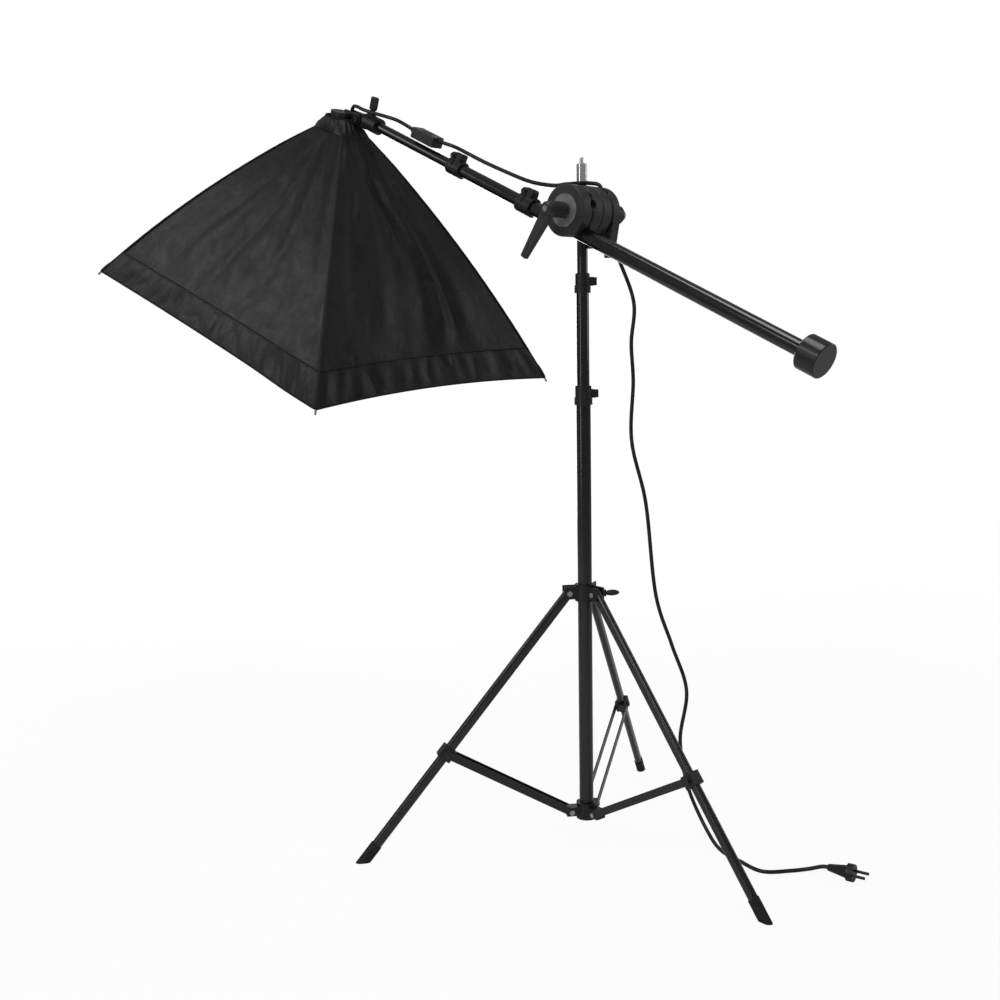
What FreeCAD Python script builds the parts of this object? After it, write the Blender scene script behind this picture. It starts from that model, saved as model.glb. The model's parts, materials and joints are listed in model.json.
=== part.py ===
"""A softbox lamp on a counterweighted boom: folding stand, grip head, three-section boom, tilting lamp holder.

The origin is on the floor under the stand's column, +Z is up, and the boom lies in a plane parallel to XZ with
the lamp towards -X. All lengths are in millimetres and all angles in degrees.
"""

import FreeCAD, Part
import math
import os

import Sketcher
from FreeCAD import Matrix, Placement, Rotation, Vector

DRIVING_SIZES = {
    # telescopic column
    "tube_wall": 1.2,
    "lower_outer": 22,
    "middle_outer": 19,
    "top_outer": 16,
    "column_bottom": 42,
    "lower_lock_height": 698,
    "upper_lock_height": 866,
    "lock_length": 29,
    "lock_seat_depth": 11,
    "middle_length": 590,
    "top_length": 550,
    "column_top": 1023,
    "spigot_diameter": 15.875,
    "spigot_length": 32,
    # folding legs
    "foot_reach": 355,
    "stand_heading": 234.2,
    "knob_heading": 54.2,
    "leg_pivot_reach": 26,
    "leg_pivot_height": 408,
    "leg_depth": 16,
    "leg_width": 11,
    "leg_end_margin": 5,
    "clip_share": 0.594,
    "clip_width": 18,
    "clip_depth": 22,
    "clip_length": 20,
    "foot_length": 34,
    "hub_height": 26,
    "hub_pin_reach": 26,
    "hub_pin_height": 57,
    "brace_width": 12,
    "brace_thickness": 1.5,
    "bolt_diameter": 5,
    # grip head
    "head_diameter": 75,
    "head_reach": 23,
    "jaw_thickness": 20.7,
    "jaw_gap": 2.6,
    "spare_groove_offset": 20,
    "spare_groove_diameter": 13,
    "cross_groove_offset": 18.5,
    "cross_groove_diameter": 7,
    "head_bolt_diameter": 10,
    # boom
    "boom_side": 44,
    "boom_pitch": 24.9,
    "boom_height": 966,
    "boom_tail": 448,
    "main_end": 92,
    "middle_end": 260,
    "boom_tip": 484,
    "boom_middle_length": 450,
    "boom_end_length": 460,
    "counterweight_diameter": 48,
    "counterweight_length": 31,
    # tilt bracket and lamp holder
    "receiver_start": 452,
    "tilt_pivot_along": 505,
    "bracket_roll": 4.14,
    "lamp_lean": 4.75,
    "tongue_thickness": 10,
    "lamp_body_diameter": 40,
    # softbox
    "rim_long": 700,
    "rim_short": 500,
    "softbox_depth": 346.5,
    "neck_share": 0.114,
    "panel_swell": 0.0224,
    "panel_rise": 10.6,
    "fabric_thickness": 1.5,
    "lining_thickness": 0.8,
    "rib_diameter": 4,
    # power lead
    "lead_diameter": 6,
    # fits
    "running_gap": 0.05,
    "side_gap": 0.1,
}

doc = FreeCAD.newDocument("boom_softbox")
sheet = doc.addObject("Spreadsheet::Sheet", "Sizes")
for row, (alias, number) in enumerate(DRIVING_SIZES.items(), start=1):
    sheet.set("A%d" % row, alias)
    sheet.set("B%d" % row, str(number))
    sheet.setAlias("B%d" % row, alias)
doc.recompute()


class Size(float):
    """A number that remembers the spreadsheet expression it comes from."""

    def __new__(cls, number, text):
        value = float.__new__(cls, number)
        value.text = text
        return value

    def __add__(self, other):
        return Size(float(self) + float(other), "(%s + %s)" % (self.text, text_of(other)))

    def __sub__(self, other):
        return Size(float(self) - float(other), "(%s - %s)" % (self.text, text_of(other)))

    def __mul__(self, other):
        return Size(float(self) * float(other), "(%s * %s)" % (self.text, text_of(other)))

    def __truediv__(self, other):
        return Size(float(self) / float(other), "(%s / %s)" % (self.text, text_of(other)))

    def __rsub__(self, other):
        return Size(float(other) - float(self), "(%s - %s)" % (text_of(other), self.text))

    def __neg__(self):
        return Size(-float(self), "(0 - %s)" % self.text)

    __radd__ = __add__
    __rmul__ = __mul__


def text_of(number):
    """The expression of a Size, or the digits of a plain number."""
    return number.text if isinstance(number, Size) else "%.6f" % number


def size(alias):
    """The spreadsheet cell with this alias."""
    return Size(sheet.get(alias), "Sizes." + alias)


def bind(target, name, number):
    """Set a property, tied to the spreadsheet when the number is a Size."""
    if isinstance(number, Size):
        target.setExpression(name, number.text)
    else:
        setattr(target, name, number)


# ---------------------------------------------------------------- frames

Z_AXIS = Vector(0, 0, 1)
ALONG_X = Rotation(Vector(0, 1, 0), 90)
ALONG_Y = Rotation(Vector(1, 0, 0), -90)
UPRIGHT = Rotation()


def frame(origin, x_direction, z_direction):
    """A placement whose local X and Z point along the given directions."""
    x_axis = Vector(x_direction).normalize()
    z_axis = Vector(z_direction).normalize()
    y_axis = z_axis.cross(x_axis)
    matrix = Matrix(
        x_axis.x, y_axis.x, z_axis.x, origin.x,
        x_axis.y, y_axis.y, z_axis.y, origin.y,
        x_axis.z, y_axis.z, z_axis.z, origin.z,
        0, 0, 0, 1,
    )
    return Placement(matrix)


def heading_frame(heading, height=0.0):
    """A frame on the column's axis, with local X pointing outwards at this heading."""
    outwards = Vector(math.cos(math.radians(heading)), math.sin(math.radians(heading)), 0)
    return frame(Vector(0, 0, height), outwards, Z_AXIS)


PITCH = math.radians(size("boom_pitch"))
BOOM_FRAME = frame(
    Vector(0, -size("boom_side"), size("boom_height")),
    Vector(-math.cos(PITCH), 0, math.sin(PITCH)),
    Vector(math.sin(PITCH), 0, math.cos(PITCH)),
)
BRACKET_FRAME = BOOM_FRAME * Placement(Vector(), Rotation(Vector(1, 0, 0), -size("bracket_roll")))

# The softbox hangs from the tilt pivot: its own frame has +Z from the open rim towards the neck.
TILT_PIVOT_IN_SOFTBOX = Vector(30, 14, 375)
LEAN = math.radians(size("lamp_lean"))
LAMP_TURN = frame(
    Vector(), Vector(-math.cos(LEAN), 0, math.sin(LEAN)), Vector(math.sin(LEAN), 0, math.cos(LEAN))
)
SOFTBOX_FRAME = (
    BRACKET_FRAME
    * Placement(Vector(size("tilt_pivot_along"), 0, -3), Rotation())
    * LAMP_TURN
    * Placement(-TILT_PIVOT_IN_SOFTBOX, Rotation())
)

# The head's axis: the boom lies in a chord below it, and the column in a chord on its lamp side.
HEAD_X = float(size("head_reach"))
HEAD_CHORD = size("head_reach") + 1
BOOM_FOOT_X = HEAD_X - HEAD_CHORD * math.sin(PITCH)
HEAD_Z = float(size("boom_height") - BOOM_FOOT_X * math.tan(PITCH) + HEAD_CHORD * math.cos(PITCH))


# ---------------------------------------------------------------- modelling helpers

nodes = {}


def move(item, placement):
    """Carry an object into another frame. A turned position is no longer one spreadsheet value on each axis."""
    for name in "xyz":
        item.setExpression("Placement.Base." + name, None)
    item.Placement = placement * item.Placement
    return item


def keep(label, shape_object, placement=None):
    """Register a finished sub-part under its own label, at its place in the assembly."""
    shape_object.Label = label
    if placement is not None:
        move(shape_object, placement)
    nodes[label] = shape_object
    return shape_object


def place(target, position=(0, 0, 0), rotation=UPRIGHT):
    """Place a primitive in its sub-part's frame, tying each coordinate that is a Size."""
    target.Placement = Placement(Vector(*position), rotation)
    for name, number in zip("xyz", position):
        if isinstance(number, Size):
            target.setExpression("Placement.Base." + name, number.text)
    return target


def cylinder(name, radius, height, position=(0, 0, 0), rotation=UPRIGHT):
    item = doc.addObject("Part::Cylinder", name)
    bind(item, "Radius", radius)
    bind(item, "Height", height)
    return place(item, position, rotation)


def cone(name, radius_1, radius_2, height, position=(0, 0, 0), rotation=UPRIGHT):
    item = doc.addObject("Part::Cone", name)
    bind(item, "Radius1", radius_1)
    bind(item, "Radius2", radius_2)
    bind(item, "Height", height)
    return place(item, position, rotation)


def block(name, length, width, height, centre=(0, 0, 0)):
    """A box whose centre, not its corner, is at the given point."""
    item = doc.addObject("Part::Box", name)
    bind(item, "Length", length)
    bind(item, "Width", width)
    bind(item, "Height", height)
    corner = (centre[0] - length / 2, centre[1] - width / 2, centre[2] - height / 2)
    return place(item, corner)


def fuse(name, *shapes):
    item = doc.addObject("Part::MultiFuse", name)
    item.Shapes = list(shapes)
    item.Refine = True
    return item


def cut(name, base, *tools):
    item = doc.addObject("Part::Cut", name)
    item.Base = base
    item.Tool = tools[0] if len(tools) == 1 else fuse(name + "_tools", *tools)
    item.Refine = True
    return item


def rounded(name, base, radius, chosen):
    """Fillet the edges of a primitive or boolean for which chosen(edge) is true."""
    doc.recompute()
    item = doc.addObject("Part::Fillet", name)
    item.Base = base
    numbers = [i for i, edge in enumerate(base.Shape.Edges, start=1) if chosen(edge)]
    item.Edges = [(i, radius, radius) for i in numbers]
    return item


def runs_along(edge, axis):
    """Whether an edge runs along one of the axes of its own frame."""
    return abs(getattr(edge.tangentAt(edge.FirstParameter), axis)) > 0.9


def body(name):
    return doc.addObject("PartDesign::Body", name)


def sketch(owner, role="XY_Plane", offset=0.0):
    """An empty sketch on one of the body's own origin planes."""
    item = owner.newObject("Sketcher::SketchObject", owner.Name + "_sketch")
    plane = [feature for feature in owner.Origin.OriginFeatures if feature.Role == role][0]
    item.AttachmentSupport = [(plane, "")]
    item.MapMode = "FlatFace"
    item.AttachmentOffset = Placement(Vector(0, 0, offset), Rotation())
    if isinstance(offset, Size):
        item.setExpression("AttachmentOffset.Base.z", offset.text)
    return item


def dimension(target, kind, *arguments):
    """Add one driving constraint, tied to the spreadsheet when its value is a Size."""
    numbers = [float(item) if isinstance(item, Size) else item for item in arguments]
    index = target.addConstraint(Sketcher.Constraint(kind, *numbers))
    if isinstance(arguments[-1], Size):
        target.setExpression("Constraints[%d]" % index, arguments[-1].text)


def add_circle(target, radius, centre=(0, 0)):
    curve = target.addGeometry(Part.Circle(Vector(centre[0], centre[1], 0), Z_AXIS, radius), False)
    dimension(target, "Radius", curve, radius)
    dimension(target, "DistanceX", -1, 1, curve, 3, centre[0])
    dimension(target, "DistanceY", -1, 1, curve, 3, centre[1])


def add_polygon(target, points):
    """A closed outline of straight lines, with every corner dimensioned from the origin."""
    first = target.GeometryCount
    count = len(points)
    for i, start in enumerate(points):
        end = points[(i + 1) % count]
        target.addGeometry(Part.LineSegment(Vector(start[0], start[1], 0), Vector(end[0], end[1], 0)), False)
    for i, (across, up) in enumerate(points):
        target.addConstraint(Sketcher.Constraint("Coincident", first + (i - 1) % count, 2, first + i, 1))
        dimension(target, "DistanceX", -1, 1, first + i, 1, across)
        dimension(target, "DistanceY", -1, 1, first + i, 1, up)


def add_rectangle(target, width, height, centre=(0, 0)):
    left = centre[0] - width / 2
    right = centre[0] + width / 2
    low = centre[1] - height / 2
    high = centre[1] + height / 2
    add_polygon(target, [(left, low), (right, low), (right, high), (left, high)])


def add_obround(target, depth, width):
    """Two half circles joined by straight sides, longer across than it is high."""
    reach = (depth - width) / 2
    radius = width / 2
    first = target.GeometryCount
    quarter = math.pi / 2
    right_circle = Part.Circle(Vector(reach, 0, 0), Z_AXIS, radius)
    left_circle = Part.Circle(Vector(-reach, 0, 0), Z_AXIS, radius)
    target.addGeometry(Part.ArcOfCircle(right_circle, -quarter, quarter), False)
    target.addGeometry(Part.ArcOfCircle(left_circle, quarter, 3 * quarter), False)
    target.addGeometry(Part.LineSegment(Vector(reach, radius, 0), Vector(-reach, radius, 0)), False)
    target.addGeometry(Part.LineSegment(Vector(-reach, -radius, 0), Vector(reach, -radius, 0)), False)
    order = (0, 2, 1, 3)
    for i, curve in enumerate(order):
        target.addConstraint(Sketcher.Constraint("Tangent", first + curve, 2, first + order[(i + 1) % 4], 1))
    for curve, side in ((first, reach), (first + 1, -reach)):
        dimension(target, "DistanceX", -1, 1, curve, 3, side)
        dimension(target, "DistanceY", -1, 1, curve, 3, 0.0)
    dimension(target, "Radius", first, radius)


def pad(owner, profile, length, midplane=False):
    item = owner.newObject("PartDesign::Pad", owner.Name + "_pad")
    item.Profile = profile
    bind(item, "Length", length)
    item.Midplane = midplane
    owner.Tip = item
    return item


def pocket_through(owner, profile, length=200.0):
    """Cut a profile through the body, half of the length on each side of the sketch."""
    item = owner.newObject("PartDesign::Pocket", owner.Name + "_pocket")
    item.Profile = profile
    bind(item, "Length", length)
    item.Midplane = True
    owner.Tip = item
    return item


def turned(name, outline, position=(0, 0, 0), rotation=UPRIGHT):
    """A solid of revolution about local Z from (radius, height) corners."""
    owner = body(name)
    profile = sketch(owner, "XZ_Plane")
    add_polygon(profile, outline)
    item = owner.newObject("PartDesign::Revolution", name + "_turn")
    item.Profile = profile
    item.ReferenceAxis = (profile, ["V_Axis"])
    item.Angle = 360
    owner.Tip = item
    return place(owner, position, rotation)


def round_tube(name, outer, length, position=(0, 0, 0), rotation=UPRIGHT):
    """A tube of the common wall thickness along local Z."""
    owner = body(name)
    profile = sketch(owner)
    add_circle(profile, outer / 2)
    add_circle(profile, outer / 2 - size("tube_wall"))
    pad(owner, profile, length)
    return place(owner, position, rotation)


def bent_rod(name, points, radius):
    """A round rod or cable as straight stretches from point to point, with a ball at each bend."""
    pieces = []
    for i in range(len(points) - 1):
        start = Vector(*points[i])
        span = Vector(*points[i + 1]) - start
        pieces.append(cylinder("%s_stretch_%d" % (name, i), radius, span.Length, start, Rotation(Z_AXIS, span)))
        if i > 0:
            ball = doc.addObject("Part::Sphere", "%s_bend_%d" % (name, i))
            bind(ball, "Radius", radius)
            pieces.append(place(ball, start))
    rod = fuse(name, *pieces)
    rod.Refine = False
    return rod


# ---------------------------------------------------------------- column

STEM = 6
LOCK_BOSS_HEIGHT = 17
LOCK_BOSS_REACH = 3.5


def lock_collar(label, lower, upper, height, wall=2.6):
    """A plastic collar fixed on the lower tube's end, which guides the sliding tube and has a boss for its knob."""
    outer = lower / 2 + wall
    bore = upper / 2 + size("running_gap")
    top = size("lock_length")
    seat = size("lock_seat_depth")
    sleeve = turned(
        label + "_sleeve",
        [
            (lower / 2, 0),
            (outer - 0.6, 0),
            (outer, 0.6),
            (outer, seat),
            (outer - 1.2, seat + 1.2),
            (outer - 1.2, top - 1),
            (outer - 2.2, top),
            (bore, top),
            (bore, seat),
            (lower / 2, seat),
        ],
    )
    boss = block(label + "_boss", 7, 11, 13, (outer + LOCK_BOSS_REACH - 3.5, 0, LOCK_BOSS_HEIGHT))
    boss_cut = cylinder(label + "_boss_bore", bore, top * 2, (0, 0, -5))
    trimmed = cut(label + "_trimmed_boss", boss, boss_cut)
    seat_cut = cylinder(label + "_seat", lower / 2, seat, (0, 0, 0))
    stem_radius = STEM / 2 + size("running_gap")
    stem_hole = cylinder(label + "_stem_hole", stem_radius, 40, (0, 0, LOCK_BOSS_HEIGHT), ALONG_X)
    keep(
        label,
        cut(label + "_solid", fuse(label + "_joined", sleeve, trimmed), seat_cut, stem_hole),
        heading_frame(size("knob_heading"), height),
    )


def lock_knob(label, lower, upper, height, wall=2.6):
    """The small square locking screw: its stem ends against the sliding tube."""
    start = upper / 2 + 2 * size("running_gap")
    face = lower / 2 + wall + LOCK_BOSS_REACH + size("side_gap")
    stem = cylinder(label + "_stem", STEM / 2, face - start + 0.5, (start, 0, LOCK_BOSS_HEIGHT), ALONG_X)
    grip = block(label + "_grip", 5, 12, 12, (face + 2.5, 0, LOCK_BOSS_HEIGHT))
    eased = rounded(label + "_rounded", grip, 1.5, lambda edge: runs_along(edge, "x"))
    keep(label, fuse(label + "_solid", stem, eased), heading_frame(size("knob_heading"), height))


def column():
    lower_length = size("lower_lock_height") + size("lock_seat_depth") - size("column_bottom")
    keep(
        "lower_tube",
        round_tube("lower_tube", size("lower_outer"), lower_length, (0, 0, size("column_bottom"))),
    )
    middle_top = size("upper_lock_height") + size("lock_seat_depth")
    middle_bottom = middle_top - size("middle_length")
    middle = round_tube("middle_tube", size("middle_outer"), size("middle_length"), (0, 0, middle_bottom))
    keep("middle_tube", middle)
    top_bottom = size("column_top") - size("top_length")
    keep("top_tube", round_tube("top_tube", size("top_outer"), size("top_length"), (0, 0, top_bottom)))
    for label, lower, upper, height in (
        ("lower_lock", size("lower_outer"), size("middle_outer"), size("lower_lock_height")),
        ("upper_lock", size("middle_outer"), size("top_outer"), size("upper_lock_height")),
    ):
        lock_collar(label + "_collar", lower, upper, height)
        lock_knob(label + "_knob", lower, upper, height)
    spigot()


def spigot():
    """The bright stud on top of the column, with a plug inside the tube and a small camera thread on its tip."""
    plug = size("top_outer") / 2 - size("tube_wall")
    radius = size("spigot_diameter") / 2
    length = size("spigot_length")
    outline = [
        (0, -18),
        (plug, -18),
        (plug, 0),
        (radius - 0.6, 0),
        (radius - 0.6, 1),
        (radius, 1.6),
        (radius, length - 0.8),
        (radius - 0.8, length),
        (3.1, length),
        (3.1, length + 8.4),
        (2.5, length + 9),
        (0, length + 9),
    ]
    keep("column_spigot", turned("column_spigot", outline, (0, 0, size("column_top"))))


# ---------------------------------------------------------------- stand

LEG_LETTERS = ("a", "b", "c")
LEG_RUN = size("foot_reach") - size("leg_pivot_reach")
LEG_SPAN = math.hypot(LEG_RUN, size("leg_pivot_height"))
LEG_LEAN = math.degrees(math.atan2(LEG_RUN, size("leg_pivot_height")))
CLIP_REACH = size("leg_pivot_reach") + LEG_RUN * size("clip_share")
CLIP_HEIGHT = size("leg_pivot_height") * (1 - size("clip_share"))
BRACE_SPAN = math.hypot(CLIP_REACH - size("hub_pin_reach"), CLIP_HEIGHT - size("hub_pin_height"))
BRACE_RISE = math.atan2(CLIP_HEIGHT - size("hub_pin_height"), CLIP_REACH - size("hub_pin_reach"))
STRIP_OFFSET = size("clip_width") / 2 + size("side_gap") + size("brace_thickness") / 2


def leg_heading(index):
    return size("stand_heading") + 120 * index


def leg_frame(index):
    """Origin on the leg's upper pin, local Z down the leg, local X outwards and up, in the leg's own plane."""
    lean = math.radians(LEG_LEAN)
    across = Vector(math.cos(lean), 0, math.sin(lean))
    down = Vector(math.sin(lean), 0, -math.cos(lean))
    pin = Vector(size("leg_pivot_reach"), 0, size("leg_pivot_height"))
    return heading_frame(leg_heading(index)) * frame(pin, across, down)


def leg(index):
    """An oval tube, drilled near its upper end for the collar's bolt."""
    label = "leg_" + LEG_LETTERS[index]
    owner = body(label)
    profile = sketch(owner, "XY_Plane", -size("leg_end_margin"))
    add_obround(profile, size("leg_depth"), size("leg_width"))
    add_obround(profile, size("leg_depth") - 2 * size("tube_wall"), size("leg_width") - 2 * size("tube_wall"))
    pad(owner, profile, LEG_SPAN - 16 + size("leg_end_margin"))
    hole = sketch(owner, "XZ_Plane")
    add_circle(hole, size("bolt_diameter") / 2 + size("running_gap"))
    pocket_through(owner, hole, 40.0)
    keep(label, owner, leg_frame(index))


def foot(index):
    """A plastic tip pushed over the leg's end, cut level so that it stands flat on the floor."""
    label = "foot_" + LEG_LETTERS[index]
    owner = body(label + "_cap")
    profile = sketch(owner, "XY_Plane", LEG_SPAN - size("foot_length"))
    add_obround(profile, size("leg_depth") + 2.4, size("leg_width") + 2.4)
    pad(owner, profile, size("foot_length") + 14)
    socket = owner.newObject("PartDesign::Pocket", label + "_socket")
    socket_profile = sketch(owner, "XY_Plane", LEG_SPAN - size("foot_length"))
    add_obround(socket_profile, size("leg_depth"), size("leg_width"))
    socket.Profile = socket_profile
    socket.Length = float(size("foot_length")) - 16
    socket.Reversed = True
    owner.Tip = socket
    floor = block(label + "_floor", 80, 80, 40, (0, 0, -20))
    level = Placement(Vector(0, 0, LEG_SPAN), Rotation(Vector(0, 1, 0), -LEG_LEAN) * Rotation(Vector(1, 0, 0), 180))
    move(floor, level)
    keep(label, cut(label + "_solid", owner, floor), leg_frame(index))


def leg_clip(index):
    """The plastic clip around the leg that the two brace strips hold on to."""
    label = "leg_clip_" + LEG_LETTERS[index]
    owner = body(label)
    profile = sketch(owner, "XY_Plane", LEG_SPAN * size("clip_share") - size("clip_length") / 2)
    add_rectangle(profile, size("clip_depth"), size("clip_width"))
    add_obround(profile, size("leg_depth"), size("leg_width"))
    pad(owner, profile, size("clip_length"))
    keep(label, owner, leg_frame(index))


def brace(index):
    """Two flat strips with round ends on either side of the leg, and the rivet heads at their outer ends."""
    label = "brace_" + LEG_LETTERS[index]
    strips = []
    for side, name in ((1, "left"), (-1, "right")):
        owner = body("%s_%s_strip" % (label, name))
        profile = sketch(owner, "XZ_Plane", STRIP_OFFSET * side)
        add_slotted_strip(profile)
        pad(owner, profile, size("brace_thickness"), midplane=True)
        strips.append(owner)
        outside = STRIP_OFFSET + size("brace_thickness") / 2
        start = outside if side < 0 else -outside - 2
        strips.append(cylinder("%s_%s_rivet" % (label, name), 3.6, 2, (BRACE_SPAN, start, 0), ALONG_Y))
    rise = Rotation(Vector(0, 1, 0), -math.degrees(BRACE_RISE))
    pin = Placement(Vector(size("hub_pin_reach"), 0, size("hub_pin_height")), rise)
    group = doc.addObject("Part::Compound", label + "_group")
    group.Links = strips
    keep(label, group, heading_frame(leg_heading(index)) * pin)


def add_slotted_strip(target):
    """A strip with round ends along local X, with a pin hole at its inner end."""
    radius = size("brace_width") / 2
    quarter = math.pi / 2
    target.addGeometry(
        Part.ArcOfCircle(Part.Circle(Vector(BRACE_SPAN, 0, 0), Z_AXIS, radius), -quarter, quarter), False
    )
    target.addGeometry(Part.ArcOfCircle(Part.Circle(Vector(0, 0, 0), Z_AXIS, radius), quarter, 3 * quarter), False)
    target.addGeometry(Part.LineSegment(Vector(BRACE_SPAN, radius, 0), Vector(0, radius, 0)), False)
    target.addGeometry(Part.LineSegment(Vector(0, -radius, 0), Vector(BRACE_SPAN, -radius, 0)), False)
    for curve, point, other, other_point in ((0, 2, 2, 1), (2, 2, 1, 1), (1, 2, 3, 1), (3, 2, 0, 1)):
        target.addConstraint(Sketcher.Constraint("Tangent", curve, point, other, other_point))
    dimension(target, "DistanceX", -1, 1, 0, 3, BRACE_SPAN)
    dimension(target, "DistanceY", -1, 1, 0, 3, 0.0)
    dimension(target, "DistanceX", -1, 1, 1, 3, 0.0)
    dimension(target, "DistanceY", -1, 1, 1, 3, 0.0)
    dimension(target, "Radius", 0, radius)
    add_circle(target, size("bolt_diameter") / 2 + size("running_gap"))


def bolt_row(label, reach, height, half_length):
    """Three cross bolts with low round heads, one for each leg."""
    items = []
    for index in range(3):
        name = "%s_%s" % (label, LEG_LETTERS[index])
        shank_start = (reach, -half_length, height)
        shank = cylinder(name + "_shank", size("bolt_diameter") / 2, half_length * 2, shank_start, ALONG_Y)
        head = cylinder(name + "_head", 4.2, 2.4, (reach, half_length, height), ALONG_Y)
        nut = cylinder(name + "_nut", 3.8, 3, (reach, -half_length - 3, height), ALONG_Y)
        bolt = fuse(name, shank, head, nut)
        move(bolt, heading_frame(leg_heading(index)))
        items.append(bolt)
    group = doc.addObject("Part::Compound", label + "_group")
    group.Links = items
    keep(label, group)


def base_hub():
    """A ring fixed on the column's lower end, with three lugs that carry the braces."""
    owner = body("base_hub")
    ring = sketch(owner, "XY_Plane", size("column_bottom") + 2)
    add_circle(ring, 16)
    add_circle(ring, size("lower_outer") / 2)
    pad(owner, ring, size("hub_height"))
    for index in range(3):
        heading = leg_heading(index)
        lug = sketch(owner, "XY_Plane", size("hub_pin_height") - 7)
        lug.AttachmentOffset = Placement(Vector(0, 0, size("hub_pin_height") - 7), Rotation(Z_AXIS, heading))
        lug_length = size("hub_pin_reach") + 7 - 13
        add_rectangle(lug, lug_length, size("clip_width"), (13 + lug_length / 2, 0))
        pad(owner, lug, 14.0)
    bore_start = (size("hub_pin_reach"), -30, size("hub_pin_height"))
    holes = [cylinder("hub_bore_%d" % i, size("bolt_diameter") / 2, 60, bore_start, ALONG_Y) for i in range(3)]
    for index, hole in enumerate(holes):
        move(hole, heading_frame(leg_heading(index)))
    keep("base_hub", cut("base_hub_solid", owner, *[trim_to_lug(i, hole) for i, hole in enumerate(holes)]))
    half_length = STRIP_OFFSET + size("brace_thickness") / 2 + 0.1
    bolt_row("hub_bolts", size("hub_pin_reach"), size("hub_pin_height"), half_length)


def trim_to_lug(index, hole):
    """Keep only the stretch of a long bore that lies within its own lug."""
    middle = (size("hub_pin_reach"), 0, size("hub_pin_height"))
    zone = block("hub_zone_%d" % index, 12, size("clip_width") + 1, 12, middle)
    move(zone, heading_frame(leg_heading(index)))
    item = doc.addObject("Part::Common", "hub_bore_part_%d" % index)
    item.Base = hole
    item.Tool = zone
    return item


def leg_collar():
    """The sliding collar: a ring with a pair of cheeks for each leg and a boss for the wing screw."""
    middle = size("leg_pivot_height")
    low = middle - 13
    ring = turned(
        "leg_collar_ring",
        [
            (size("lower_outer") / 2 + size("running_gap"), low),
            (15.5, low),
            (15.5, low + 26),
            (size("lower_outer") / 2 + size("running_gap"), low + 26),
        ],
    )
    cheek_inside = size("leg_width") / 2 + size("side_gap")
    solids = [ring]
    for index in range(3):
        for side in (1, -1):
            name = "leg_collar_cheek_%d_%s" % (index, "l" if side > 0 else "r")
            centre = (23, side * (cheek_inside + 1.5), middle + 1)
            cheek = block(name, 22, 3, 20, centre)
            hole_start = (size("leg_pivot_reach"), centre[1] - 5, middle)
            hole = cylinder(name + "_hole", size("bolt_diameter") / 2, 10, hole_start, ALONG_Y)
            drilled = cut(name + "_drilled", cheek, hole)
            move(drilled, heading_frame(leg_heading(index)))
            solids.append(drilled)
    boss = cylinder("leg_collar_boss", 7, 12, (14, 0, middle - 3), ALONG_X)
    move(boss, heading_frame(size("knob_heading")))
    solids.append(boss)
    bore = cylinder("leg_collar_bore", size("lower_outer") / 2 + size("running_gap"), 40, (0, 0, low - 5))
    stem_hole = cylinder("leg_collar_stem_hole", STEM / 2 + size("running_gap"), 30, (0, 0, middle - 3), ALONG_X)
    move(stem_hole, heading_frame(size("knob_heading")))
    keep("leg_collar", cut("leg_collar_solid", fuse("leg_collar_joined", *solids), bore, stem_hole))
    bolt_row("leg_collar_bolts", size("leg_pivot_reach"), middle, cheek_inside + 3)


def leg_collar_knob():
    """An oval wing screw whose stem ends just short of the column."""
    start = size("lower_outer") / 2 + 2 * size("running_gap")
    height = size("leg_pivot_height") - 3
    stem = cylinder("leg_collar_knob_stem", STEM / 2, 21, (start, 0, height), ALONG_X)
    neck = cylinder("leg_collar_knob_neck", 5.5, 7, (26 + size("side_gap"), 0, height), ALONG_X)
    wing = doc.addObject("Part::Ellipsoid", "leg_collar_knob_wing")
    wing.Radius1 = 8
    wing.Radius2 = 12
    wing.Radius3 = 4.5
    wing.Placement = Placement(Vector(43, 0, height), Rotation(Vector(1, 0, 0), 90))
    keep("leg_collar_knob", fuse("leg_collar_knob_solid", stem, neck, wing), heading_frame(size("knob_heading")))


def stand():
    base_hub()
    leg_collar()
    leg_collar_knob()
    for index in range(3):
        leg(index)
        foot(index)
        leg_clip(index)
        brace(index)


# ---------------------------------------------------------------- grip head

SEAM = size("boom_side") / 2
HEAD_RADIUS = size("head_diameter") / 2


def head_frame(side, tilted):
    """Head axis along local Y towards the lever; local X follows the boom or points at the column."""
    x_direction = Vector(-math.cos(PITCH), 0, math.sin(PITCH)) if tilted else Vector(-1, 0, 0)
    z_direction = Vector(math.sin(PITCH), 0, math.cos(PITCH)) if tilted else Z_AXIS
    return frame(Vector(HEAD_X, -side, HEAD_Z), x_direction, z_direction)


def jaw_disc(name, inner, outer, recess=0.0):
    """One toothed disc of the head, from the gap face at y = inner to the outer face at y = outer."""
    radius = HEAD_RADIUS
    edge = 1.5
    direction = 1 if outer > inner else -1
    bore = size("head_bolt_diameter") / 2 + size("running_gap")
    outline = [
        (bore, inner),
        (radius - edge, inner),
        (radius, inner + direction * edge),
        (radius, outer - direction * edge),
        (radius - edge, outer),
    ]
    if recess:
        outline += [(24.2, outer), (24.2, outer - direction * recess), (bore, outer - direction * recess)]
    else:
        outline += [(bore, outer)]
    return turned(name, outline, (0, 0, 0), ALONG_Y)


def boom_grooves(name):
    """The boom's chord, a smaller spare chord beside it, and a thin one across them, all in the gap plane."""
    spare = size("spare_groove_diameter") / 2
    cross = size("cross_groove_diameter") / 2
    return (
        cylinder(name + "_main", size("lower_outer") / 2 + size("running_gap"), 120, (-60, 0, -HEAD_CHORD), ALONG_X),
        cylinder(name + "_spare", spare, 120, (-60, 0, size("spare_groove_offset")), ALONG_X),
        cylinder(name + "_cross", cross, 120, (-size("cross_groove_offset"), 0, -60)),
    )


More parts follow.
